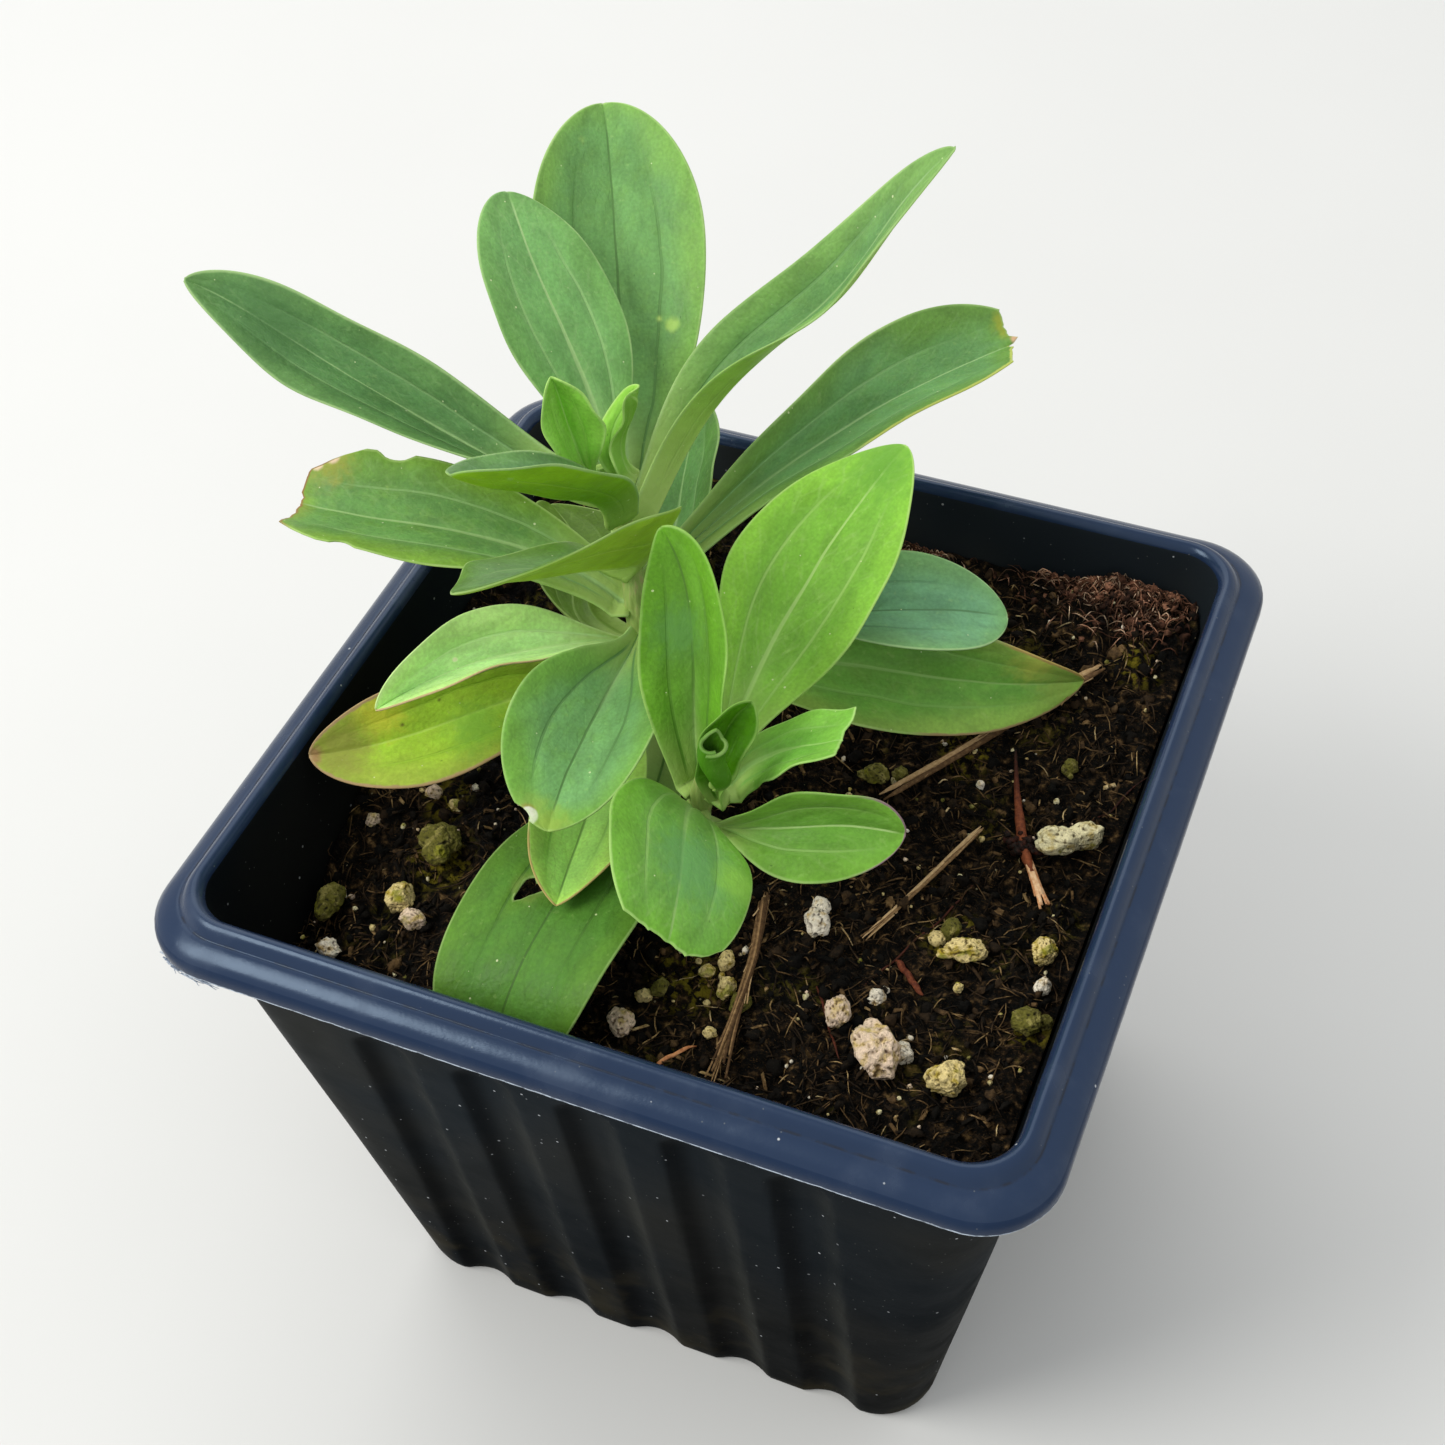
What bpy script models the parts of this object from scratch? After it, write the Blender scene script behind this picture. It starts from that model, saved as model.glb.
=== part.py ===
"""Potted soapwort: a square nursery pot of peat with one tall leafy shoot and a short side shoot.

Metres, +Z up. The origin is the middle of the pot's underside. The front wall, which has the
bottom leaf over it, faces -Y, and X runs along the front rim.
"""

import math
from collections import namedtuple

import bmesh
import bpy
import numpy as np
from mathutils import Vector
from mathutils.bvhtree import BVHTree

MM = 0.001
GAP = 0.35 * MM  # between pieces that touch on the real plant

# Pot: a tapered square shell with a rolled rim
# Its outer profile in millimetres: half width, corner radius, height
POT_PROFILE = (
    # the foot and the wall
    (36.4, 7.2, 0),
    (37.0, 7.7, 0.7),
    (48.6, 9.4, 80.2),
    # the short skirt of the rim, which is its widest place
    (51.8, 9.0, 80.5),
    (52.5, 9.2, 81.0),
    (52.5, 9.2, 82.5),
    (51.8, 8.7, 83.4),
    # the sloping flange, the step at its end, and the bead round the mouth
    (50.0, 7.6, 84.3),
    (49.5, 7.3, 84.5),
    (49.2, 7.1, 85.1),
    (48.7, 6.8, 85.7),
    (48.1, 6.4, 86.0),
    (47.5, 5.9, 85.7),
    (47.0, 5.5, 84.9),
)
FOOT_HALF = 37.0 * MM
WALL_TOP_HALF = 48.6 * MM
WALL_TOP_HEIGHT = 80.2 * MM
FLOOR = 2.6 * MM
INNER_RING = 60 * MM
INNER_FOOT_HALF = 34.6 * MM
INNER_FOOT_CORNER = 4.6 * MM
MOUTH_HALF = 47.0 * MM
MOUTH_HEIGHT = 84.9 * MM
MOUTH_CORNER = 5.5 * MM
CORNER_STEPS = 5

# Flutes pressed into each wall, from the foot to a round top below the rim
FLUTE_COUNT = 5
FLUTE_PITCH = 12.6 * MM
FLUTE_HALF_WIDTH = 3.7 * MM
FLUTE_DEPTH = 1.2 * MM
FLUTE_TOP = 72.0 * MM
# Places across a flute and up its round top, in half widths. Past 1 the trough is outside the wall.
FLUTE_STATIONS = (-1.15, -0.77, -0.38, 0, 0.38, 0.77, 1.15)
FLUTE_TOP_ROWS = (0, 0.4, 0.7, 0.9, 1.15)
DRAIN_RADIUS = 4.5 * MM
DRAIN_PLACE = 19 * MM
DRAIN_SIDES = 16
CUT_OVER = 2 * MM  # how far a cutter goes on past the face that it cuts

# Soil: peat that fills the pot to about a centimetre below the rim
SOIL_LEVEL = 74.0 * MM
BACK_RISE = 2.8  # the peat rises by this many millimetres from the middle of the pot to its back
BACK_RISE_START = 4
BACK_RISE_LENGTH = 40
FRONT_DIP = 1.0
# Round rises and hollows in millimetres: height, middle x and y, spread
SOIL_HUMPS = (
    (-8.5, -47, -38, 12),
    (3.0, -24, 47, 12),
    (3.0, 37, 41, 7),
)
SOIL_RINGS = 11
SOIL_RING_CROWDING = 0.85  # below 1 the rings stand wider apart near the middle
SOIL_SIDE_STEPS = 8
SOIL_CORNER_STEPS = 3
SOIL_WAIST = 40 * MM
SOIL_EDGE = 66 * MM  # the height whose inner wall sets the rings' size
HOLE_FLOOR = 62 * MM
STEM_END = 63 * MM
HOLE_CUT_TOP = 90 * MM
HOLE_SIDES = 12

# Stems: a little thicker at every third row, where a pair of leaves stands
STEM_ROWS = 17
STEM_SIDES = 10
NODE_EVERY = 3
BETWEEN_NODES = 0.94
BUD_SHARE = 0.6  # of the last radius, so that the stem ends in a small point

# Leaves
BLADE = 0.65 * MM  # thickness of a blade
PETIOLE = 0.8 * MM  # thickness at the foot
PETIOLE_SHARE = 0.3  # of the length, over which the foot thins to the blade
SPINE_STEPS = 48
LEAF_ROWS = (0, 0.09, 0.2, 0.33, 0.46, 0.58, 0.7, 0.8, 0.88, 0.95, 1.0)
LEAF_STATIONS = (-1, -0.55, 0, 0.55, 1)
LEAST_HALF_WIDTH = 0.3 * MM
NECK_CURVE = 1.6  # how slowly a blade widens from its foot
CURL = 1.5  # how much of a blade's fold is kept for its margins

Shoot = namedtuple("Shoot", "foot top radius top_radius")
# The foot and the top of each shoot's middle line, in millimetres
SHOOTS = {
    "main": Shoot((-11.5, 3.9, 63), (-18.3, 9.0, 113), 2.1, 0.95),
    "side": Shoot((-3.1, -12.5, 63), (3.2, -17.0, 96), 1.8, 1.1),
}

# Each leaf leaves its shoot at a height, at a distance out from the shoot's middle line.
# Its heading (degrees anticlockwise from +X) and rise (degrees above level) are given at the foot,
# the middle and the tip, and the roll about its midrib and the fold of its halves at foot and tip.
# Lengths are in millimetres. widest is where along the blade it is widest, neck is the share of
# that width at the foot, sway bows the blade sideways, and blunt is the squareness of its end.
Leaf = namedtuple(
    "Leaf",
    "name shoot height out heading rise length width roll fold widest neck sway blunt",
)
LEAVES = (
    Leaf("leaf_back_tall", "main", 101.5, 3.0, (117, 102, 125), (42, 37, 30),
         52.5, 22, (19, 5), (20, 23), 0.65, 0.2, -0.5, 0.6),
    Leaf("leaf_upper_left", "main", 106, 3.0, (131, 145, 135), (55, 59, 18),
         38, 16, (1, 22), (11, 4), 0.6, 0.15, -0.5, 0.55),
    Leaf("leaf_long_left", "main", 107, 2.6, (183, 146, 200), (-11, 39, 20),
         58, 16, (-6, -46), (66, 35), 0.5, 0.45, -1.5, 0.65),
    Leaf("leaf_bitten_left", "main", 93, 2.4, (-180, -144, -191), (39, 3, -4),
         44.5, 16.5, (-8, -11), (16, 31), 0.6, 0.35, 0, 0.3),
    Leaf("leaf_far_right", "main", 103.5, 3.6, (60, 48, -22), (31, 66, 52),
         59, 12.5, (-34, 38), (69, 8), 0.4, 0.5, 3.5, 0.65),
    Leaf("leaf_right_nibbled", "main", 95.5, 3.4, (64, 63, 51), (25, -12, 6),
         59, 17.5, (35, 5), (55, 36), 0.75, 0.35, -0.5, 0.5),
    Leaf("leaf_arched_upper", "main", 108, 4.4, (-79, -107, -133), (73, 16, 45),
         31.5, 13, (-18, 39), (54, 17), 0.65, 0.55, 0.5, 0.6),
    Leaf("leaf_arched_middle", "main", 99.5, 2.8, (-76, -74, -145), (67, 12, 24),
         38, 19.5, (17, 38), (42, 3), 0.5, 0.65, 2.5, 0.6),
    Leaf("leaf_behind_right", "main", 91.5, 2.5, (92, 117, 96), (-6, 5, 13),
         36, 14.5, (-12, -20), (41, 28), 0.55, 0.25, 0, 0.6),
    Leaf("leaf_low_back", "main", 86, 2.4, (152, 136, 117), (-11, -5, 5),
         31.5, 14.5, (8, 18), (45, 27), 0.65, 0.3, 2.5, 0.6),
    Leaf("leaf_crown_left", "main", 112.5, 2.8, (-133, -135, -146), (68, 90, 75),
         15, 8.5, (-81, -88), (40, 42), 0.55, 0.2, 0.5, 0.6),
    Leaf("leaf_crown_right", "main", 111, 2.4, (33, -6, -40), (110, 85, 69),
         12.5, 6.5, (63, 25), (78, 1), 0.55, 0.5, -1.5, 0.6),
    Leaf("leaf_front_left", "main", 88.5, 2.6, (-136, -119, -124), (32, 6, -1),
         33, 12, (4, -27), (29, 56), 0.5, 0.15, 0.5, 0.6),
    Leaf("leaf_yellowing", "main", 83, 2.8, (-139, -130, -147), (16, -9, 1),
         39.5, 14.5, (-29, -50), (33, 22), 0.55, 0.25, -0.5, 0.6),
    Leaf("leaf_front_broad", "main", 90, 2.5, (-82, -88, -79), (9, 16, -11),
         33, 18.5, (-8, -3), (49, 10), 0.55, 0.2, 0, 0.6),
    Leaf("leaf_front_under", "main", 84.5, 2.8, (-87, -81, -75), (-11, 1, 15),
         36.5, 13.5, (-6, -8), (19, 30), 0.6, 0.25, 0, 0.6),
    Leaf("leaf_bottom", "main", 80, 2.6, (-65, -119, -79), (-37, 93, -76),
         53.5, 21, (3, 10), (-4, 7), 0.7, 0.45, -1.5, 0.25),
    Leaf("leaf_right_blue", "main", 88.5, 2.6, (12, 25, 32), (23, 7, -23),
         42.5, 15, (-7, 16), (46, 5), 0.7, 0.25, 0, 0.6),
    Leaf("leaf_right_low", "main", 83, 3.0, (13, 24, 33), (22, -22, -12),
         51.5, 15.5, (3, 81), (11, 24), 0.45, 0.25, 1, 0.65),
    Leaf("side_leaf_light", "side", 90.5, 3.4, (90, 83, 62), (20, 20, 29),
         46, 19, (36, -11), (38, 0), 0.55, 0.15, 0, 0.6),
    Leaf("side_leaf_upright", "side", 91.5, 2.4, (123, 80, 159), (86, 71, 35),
         30.5, 12, (-9, -35), (36, 26), 0.5, 0.5, 0, 0.6),
    Leaf("side_leaf_front", "side", 89.5, 2.7, (-79, -60, -81), (77, -2, -12),
         30, 18, (-32, -42), (0, 0), 0.6, 0.25, 0, 0.55),
    Leaf("side_leaf_right", "side", 86.5, 2.8, (-10, 8, 19), (34, 13, -9),
         22.5, 13, (66, 67), (56, 18), 0.55, 0.15, -0.5, 0.6),
    Leaf("side_leaf_cut", "side", 92, 3.4, (37, -21, -1), (43, 49, 25),
         19, 10.5, (11, -8), (0, 14), 0.6, 0.5, 0.5, 0.3),
    Leaf("side_leaf_cup", "side", 92.5, 3.1, (-12, 37, 41), (108, 82, 41),
         15.5, 6.5, (76, 81), (54, 24), 0.7, 0.55, -0.5, 0.6),
    Leaf("side_leaf_rolled", "side", 98, 3.4, (-54, -71, -123), (52, 102, 100),
         8.5, 5, (-100, -100), (12, 16), 0.6, 0.5, 0.5, 0.6),
)

# Three blades end in a torn edge. whole is how long the blade once was, in lengths of what is left,
# and edge gives the share of the length that the blade reaches from its one margin to the other.
Torn = namedtuple("Torn", "whole edge")
TORN = {
    "leaf_bitten_left": Torn(
        1.2, ((-1, 0.76), (-0.87, 0.83), (-0.6, 0.93), (-0.2, 0.925), (0.3, 0.905), (0.7, 0.91), (1, 0.78))
    ),
    "leaf_right_nibbled": Torn(1.03, ((-1, 0.9), (-0.5, 0.945), (0.1, 0.98), (1, 0.985))),
    "side_leaf_cut": Torn(1.25, ((-1, 0.99), (-0.6, 0.95), (0, 0.9), (0.3, 0.88), (0.7, 0.9), (1, 0.88))),
}
TEAR_START = 0.75  # the share of the length from which the rows lean into the torn edge

GRAIN_FLAT = -0.36  # where a grain of height 1 is cut flat, so that it rests on the soil
Grain = namedtuple("Grain", "name place size turn colour")
# Lumps of pumice and moss-grown grit on the soil: place and size in millimetres, turn in degrees
PALE = (0.72, 0.66, 0.55)
YELLOW = (0.58, 0.52, 0.28)
MOSSY = (0.33, 0.34, 0.13)
GRAINS = (
    Grain("grain_cream_large", (28.0, -31.5), (5.2, 6.6, 4.6), 20, PALE),
    Grain("grain_yellow_front", (36.3, -31.5), (4.8, 4.8, 3.6), 70, YELLOW),
    Grain("grain_yellow_centre", (33.0, -15.2), (5.4, 3.8, 3.4), 25, YELLOW),
    Grain("grain_cream_two_lobed", (39.6, 3.4), (7.0, 4.8, 4.4), 35, PALE),
    Grain("grain_cream_right", (41.4, -12.0), (2.8, 3.4, 2.8), 0, PALE),
    Grain("grain_mossy_right", (42.2, -21.4), (3.4, 3.2, 2.6), 10, MOSSY),
    Grain("grain_white_tall", (16.2, -16.6), (3.0, 5.6, 2.8), 10, PALE),
    Grain("grain_white_front", (22.4, -27.6), (2.8, 4.0, 2.6), 20, PALE),
    Grain("grain_mossy_back", (14.8, 6.2), (4.0, 2.8, 2.4), 20, MOSSY),
    Grain("grain_cream_edge", (0.6, -37.6), (3.4, 3.4, 2.6), 0, PALE),
    Grain("grain_mossy_left", (-40.8, -31.0), (3.8, 5.4, 3.6), -10, MOSSY),
    Grain("grain_white_left", (-38.2, -36.2), (3.0, 2.8, 2.6), 0, PALE),
    Grain("grain_yellow_left", (-31.8, -28.8), (3.2, 4.0, 3.0), 0, YELLOW),
    Grain("grain_mossy_lump", (-30.4, -21.8), (5.0, 5.4, 4.0), 30, MOSSY),
)

LITTER_SIDES = 6
LITTER_CLEARANCE = 2.5  # radii round a straw within which it clears the soil
LITTER_END = 0.7  # share of the radius at each end
Litter = namedtuple("Litter", "name radius points colour")
# Dead straws and twigs that lie on the soil, with their radius and route in millimetres
LITTER = (
    Litter("straw_long", 0.45, ((36.2, 30.6), (26.7, 17.0), (16.9, 2.8)), (0.50, 0.39, 0.24)),
    Litter("straw_front", 0.35, ((29.4, 3.1), (25.6, -7.2), (21.9, -17.4)), (0.58, 0.46, 0.27)),
    Litter("twig_orange", 0.7, ((29.6, 15.6), (31.6, 9.6), (34.8, 1.6), (40.0, -6.4)), (0.42, 0.22, 0.12)),
    Litter("dead_stalk", 0.6, ((9, -15), (11.2, -24), (12.2, -33), (13, -41)), (0.33, 0.23, 0.13)),
)


def clear_scene():
    for thing in list(bpy.data.objects):
        bpy.data.objects.remove(thing)


def material(name, colour, roughness, metallic=0.0):
    made = bpy.data.materials.new(name)
    made.use_nodes = True
    shader = made.node_tree.nodes["Principled BSDF"]
    shader.inputs["Base Color"].default_value = (*colour, 1)
    shader.inputs["Roughness"].default_value = roughness
    shader.inputs["Metallic"].default_value = metallic
    return made


def mesh_object(name, points, faces, colour, roughness=0.6):
    mesh = bpy.data.meshes.new(name)
    mesh.from_pydata([tuple(map(float, point)) for point in points], [], faces)
    mesh.update()
    thing = bpy.data.objects.new(name, mesh)
    bpy.context.collection.objects.link(thing)
    mesh.materials.append(material(name, colour, roughness))
    return thing


def make_cutter(thing):
    thing.hide_render = True
    thing.display_type = "WIRE"


def cut(thing, cutter):
    boolean = thing.modifiers.new("Cut " + cutter.name, "BOOLEAN")
    boolean.operation = "DIFFERENCE"
    boolean.object = cutter
    boolean.solver = "EXACT"


def square_ring(half, corner, height, side_steps=1, corner_steps=CORNER_STEPS):
    """Points round a square with round corners, anticlockwise seen from above."""
    points = []
    for quarter in range(4):
        turn = quarter * math.pi / 2
        for step in range(corner_steps + 1):
            angle = step / corner_steps * math.pi / 2
            across = half - corner + corner * math.cos(angle)
            deep = half - corner + corner * math.sin(angle)
            points.append((across, deep))
        # The straight side that follows the corner, less its ends
        for step in range(1, side_steps):
            x = (half - corner) * (1 - 2 * step / side_steps)
            points.append((x, half))
        count = corner_steps + side_steps
        points[-count:] = [turned(x, y, turn) for x, y in points[-count:]]
    return [(x, y, height) for x, y in points]


def lofted(rings):
    """Points and faces of rings joined in order, closed by a flat face at each end."""
    count = len(rings[0])
    points = [point for ring in rings for point in ring]
    faces = []
    for row in range(len(rings) - 1):
        for index in range(count):
            after = (index + 1) % count
            low = row * count
            high = low + count
            faces.append((low + index, low + after, high + after, high + index))
    faces.append(tuple(reversed(range(count))))
    faces.append(tuple(range(len(points) - count, len(points))))
    return points, faces


def wall_half(height):
    """Half the pot's width outside, at a height on its wall."""
    return FOOT_HALF + (WALL_TOP_HALF - FOOT_HALF) * height / WALL_TOP_HEIGHT


def inner_half(height):
    share = (height - FLOOR) / (MOUTH_HEIGHT - FLOOR)
    return INNER_FOOT_HALF + (MOUTH_HALF - INNER_FOOT_HALF) * share


def inner_corner(height):
    return INNER_FOOT_CORNER + (MOUTH_CORNER - INNER_FOOT_CORNER) * height / MOUTH_HEIGHT


def pot_rings():
    """Rings up the outside, round the rim and down the inside: half width, corner, height."""
    outside = [(half * MM, corner * MM, height * MM) for half, corner, height in POT_PROFILE]
    inside = [(inner_half(height), inner_corner(height), height) for height in (INNER_RING, FLOOR)]
    return outside + inside


def turned(x, y, angle):
    """A place turned anticlockwise about the middle of the pot."""
    return x * math.cos(angle) - y * math.sin(angle), x * math.sin(angle) + y * math.cos(angle)


def cutter_of(name, bodies):
    """One hidden cutter made of separate bodies, each given as its rings."""
    points = []
    faces = []
    for rings in bodies:
        made, made_faces = lofted(rings)
        start = len(points)
        points += made
        faces += [tuple(start + index for index in face) for face in made_faces]
    cutter = mesh_object(name, points, faces, (1, 0, 0))
    make_cutter(cutter)
    return cutter


def flute_rings(side, flute):
    """A shallow trough that runs out of the foot and has a round top."""
    top_start = FLUTE_TOP - FLUTE_HALF_WIDTH
    heights = [-CUT_OVER] + [top_start + share * FLUTE_HALF_WIDTH for share in FLUTE_TOP_ROWS]
    middle = (flute - (FLUTE_COUNT - 1) / 2) * FLUTE_PITCH
    rings = []
    for height in heights:
        up = max(0, (height - top_start) / FLUTE_HALF_WIDTH)
        wall = wall_half(height)
        ring = [(u, FLUTE_DEPTH * (1 - u * u - up * up) - wall) for u in FLUTE_STATIONS]
        ring.append((FLUTE_STATIONS[-1], -wall - CUT_OVER))
        ring.append((FLUTE_STATIONS[0], -wall - CUT_OVER))
        rings.append([
            (*turned(middle + u * FLUTE_HALF_WIDTH, y, side * math.pi / 2), height) for u, y in reversed(ring)
        ])
    return rings


def drain_rings(x, y):
    angles = [step / DRAIN_SIDES * 2 * math.pi for step in range(DRAIN_SIDES)]
    return [
        [(x + DRAIN_RADIUS * math.cos(angle), y + DRAIN_RADIUS * math.sin(angle), height) for angle in angles]
        for height in (-CUT_OVER, FLOOR + CUT_OVER)
    ]


def build_pot():
    rings = [square_ring(half, corner, height) for half, corner, height in pot_rings()]
    points, faces = lofted(rings)
    pot = mesh_object("pot", points, faces, (0.035, 0.05, 0.085), 0.38)
    flutes = [flute_rings(side, flute) for side in range(4) for flute in range(FLUTE_COUNT)]
    cut(pot, cutter_of("flute_cutter", flutes))
    places = (-DRAIN_PLACE, DRAIN_PLACE)
    cut(pot, cutter_of("drain_cutter", [drain_rings(x, y) for x in places for y in places]))


def hump(x, y, middle_x, middle_y, spread):
    """A round hill of height 1 and the given spread, all in millimetres."""
    return math.exp(-((x - middle_x) ** 2 + (y - middle_y) ** 2) / (2 * spread**2))


def soil_height(x, y):
    """Height of the peat at a place in metres: higher at the back, hollow at the front left."""
    x /= MM
    y /= MM
    height = SOIL_LEVEL / MM + BACK_RISE * min(1, max(0, (y - BACK_RISE_START) / BACK_RISE_LENGTH))
    height -= FRONT_DIP * hump(0, y, 0, -47, 9)
    for rise, middle_x, middle_y, spread in SOIL_HUMPS:
        height += rise * hump(x, y, middle_x, middle_y, spread)
    # Low waves, as of crumbs under the surface
    height += 0.4 * math.sin(0.55 * x + 1.3) * math.sin(0.47 * y + 0.4)
    height += 0.3 * math.sin(0.91 * x - 0.62 * y + 2) * math.sin(0.7 * y + 0.5 * x)
    return height * MM


def build_soil():
    steps = (SOIL_SIDE_STEPS, SOIL_CORNER_STEPS)
    rings = []
    for height in (FLOOR + GAP, SOIL_WAIST):
        rings.append(square_ring(inner_half(height) - GAP, inner_corner(height), height, *steps))
    edge = inner_half(SOIL_EDGE) - GAP
    outline = square_ring(edge, inner_corner(SOIL_EDGE), 0, *steps)
    for step in range(SOIL_RINGS):
        ring = []
        for x, y, _ in outline:
            share = (1 - step / SOIL_RINGS) ** SOIL_RING_CROWDING
            if step == 0:
                # The edge follows the leaning wall up to the soil's own height there
                share = (inner_half(soil_height(x, y)) - GAP) / edge
                ring.append((x * share, y * share, soil_height(x, y)))
            else:
                ring.append((x * share, y * share, soil_height(x * share, y * share)))
        rings.append(ring)
    points, faces = lofted(rings)
    count = len(rings[0])
    # A fan to the middle closes the top in place of one flat face
    faces.pop()
    points.append((0, 0, soil_height(0, 0)))
    last = len(points) - 1
    start = last - count
    for index in range(count):
        faces.append((start + index, start + (index + 1) % count, last))
    return mesh_object("soil", points, faces, (0.055, 0.036, 0.024), 0.95)


def surface_finder(thing):
    """Returns a function that gives the height of a mesh's top at a place."""
    points = [vertex.co.copy() for vertex in thing.data.vertices]
    faces = [tuple(polygon.vertices) for polygon in thing.data.polygons]
    tree = BVHTree.FromPolygons(points, faces)

    def height(x, y):
        hit = tree.ray_cast(Vector((x, y, 1)), Vector((0, 0, -1)))[0]
        return hit.z

    return height


def tube(route, radii, sides):
    """Points and faces of a round tube along a route of points."""
    rings = []
    for index, (place, radius) in enumerate(zip(route, radii)):
        before = Vector(route[max(0, index - 1)])
        after = Vector(route[min(len(route) - 1, index + 1)])
        along = (after - before).normalized()
        side = along.cross(Vector((0.31, 0.95, 0.05))).normalized()
        up = side.cross(along).normalized()
        ring = []
        for step in range(sides):
            angle = step / sides * 2 * math.pi
            offset = (math.cos(angle) * side - math.sin(angle) * up) * float(radius)
            ring.append(tuple(Vector(place) + offset))
        rings.append(ring)
    points, faces = lofted(rings)
    mesh = bpy.data.meshes.new("tube")
    mesh.from_pydata(points, [], faces)
    work = bmesh.new()
    work.from_mesh(mesh)
    bmesh.ops.recalc_face_normals(work, faces=work.faces)
    work.to_mesh(mesh)
    work.free()
    points = [vertex.co.copy() for vertex in mesh.vertices]
    faces = [tuple(polygon.vertices) for polygon in mesh.polygons]
    bpy.data.meshes.remove(mesh)
    return points, faces


def shoot_point(shoot, height):
    """The shoot's middle line at a height, in metres."""
    foot = np.array(shoot.foot) * MM
    top = np.array(shoot.top) * MM
    return foot + (top - foot) * (height - foot[2]) / (top[2] - foot[2])


def shoot_radius(shoot, height):
    share = (height - SOIL_LEVEL) / (shoot.top[2] * MM - SOIL_LEVEL)
    return (shoot.radius + (shoot.top_radius - shoot.radius) * min(1, max(0, share))) * MM


def build_shoot(name, shoot, soil):
    """The stem, with a slight swelling at the foot of each pair of leaves, in its hole in the soil."""
    heights = np.linspace(STEM_END, shoot.top[2] * MM, STEM_ROWS)
    route = [shoot_point(shoot, height) for height in heights]
    radii = [shoot_radius(shoot, height) * BETWEEN_NODES for height in heights]
    for index in range(0, STEM_ROWS, NODE_EVERY):
        radii[index] /= BETWEEN_NODES
    radii[-1] *= BUD_SHARE
    points, faces = tube(route, radii, STEM_SIDES)
    mesh_object(name, points, faces, (0.36, 0.45, 0.16), 0.5)
    hole_route = [shoot_point(shoot, HOLE_FLOOR), shoot_point(shoot, HOLE_CUT_TOP)]
    points, faces = tube(hole_route, [shoot.radius * MM + GAP] * 2, HOLE_SIDES)
    cutter = mesh_object(name + "_hole_cutter", points, faces, (1, 0, 0))
    make_cutter(cutter)
    cut(soil, cutter)


def bend(values, share):
    """A smooth change from the first value, bent towards the middle one, to the last."""
    first, middle, last = values
    return first * (1 - share) ** 2 + 2 * middle * share * (1 - share) + last * share**2


def leaf_frame(leaf, share):
    """The directions along, across and out of the blade's upper face, at a share of its length."""
    heading = math.radians(bend(leaf.heading, share))
    rise = math.radians(bend(leaf.rise, share))
    roll = math.radians(leaf.roll[0] + (leaf.roll[1] - leaf.roll[0]) * share)
    along = np.array((math.cos(heading) * math.cos(rise), math.sin(heading) * math.cos(rise), math.sin(rise)))
    level = np.array((-math.sin(heading), math.cos(heading), 0))
    upward = np.cross(along, level)
    across = math.cos(roll) * level + math.sin(roll) * upward
    out = math.cos(roll) * upward - math.sin(roll) * level
    return along, level, across, out


def leaf_spine(leaf):
    """Points down the midrib, at equal steps of its length."""
    shoot = SHOOTS[leaf.shoot]
    heading = math.radians(leaf.heading[0])
    place = shoot_point(shoot, leaf.height * MM)
    place = place + leaf.out * MM * np.array((math.cos(heading), math.sin(heading), 0))
    step = leaf.length * MM / SPINE_STEPS
    places = [place]
    for index in range(SPINE_STEPS):
        along = leaf_frame(leaf, (index + 0.5) / SPINE_STEPS)[0]
        places.append(places[-1] + along * step)
    bowed = []
    for index, place in enumerate(places):
        share = index / SPINE_STEPS
        level = leaf_frame(leaf, share)[1]
        bowed.append(place + level * leaf.sway * MM * math.sin(2 * math.pi * share))
    return np.array(bowed)


def leaf_half_width(leaf, share):
    whole = TORN[leaf.name].whole if leaf.name in TORN else 1
    if share < leaf.widest:
        swell = math.sin(share / leaf.widest * math.pi / 2) ** NECK_CURVE
        width = leaf.neck + (1 - leaf.neck) * swell
    else:
        past = (share - leaf.widest) / (whole - leaf.widest)
        width = max(0, 1 - past * past) ** leaf.blunt
    return max(LEAST_HALF_WIDTH, leaf.width / 2 * MM * width)


def leaf_reach(leaf, share, station):
    """The share of the length at which a row crosses a station: less than the row's own by a tear."""
    if leaf.name not in TORN or share < TEAR_START:
        return share
    places, ends = zip(*TORN[leaf.name].edge)
    end = np.interp(station, places, ends)
    return TEAR_START + (share - TEAR_START) * (end - TEAR_START) / (1 - TEAR_START)


def leaf_point(leaf, spine, share, station):
    """A point of the blade's middle surface, which curls up from the midrib to each margin."""
    marks = np.linspace(0, 1, SPINE_STEPS + 1)
    centre = np.array([np.interp(share, marks, spine[:, axis]) for axis in range(3)])
    _, _, across, out = leaf_frame(leaf, share)
    half = leaf_half_width(leaf, share)
    fold = math.radians(leaf.fold[0] + (leaf.fold[1] - leaf.fold[0]) * share)
    lift = abs(station) ** CURL * math.sin(fold)
    return centre + half * (station * math.cos(fold) * across + lift * out)


def leaf_grid(leaf, rows, stations):
    """The middle surface of a blade: a grid of points from foot to tip and from margin to margin."""
    spine = leaf_spine(leaf)
    return np.array([
        [leaf_point(leaf, spine, leaf_reach(leaf, share, station), station) for station in stations]
        for share in rows
    ])


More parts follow.
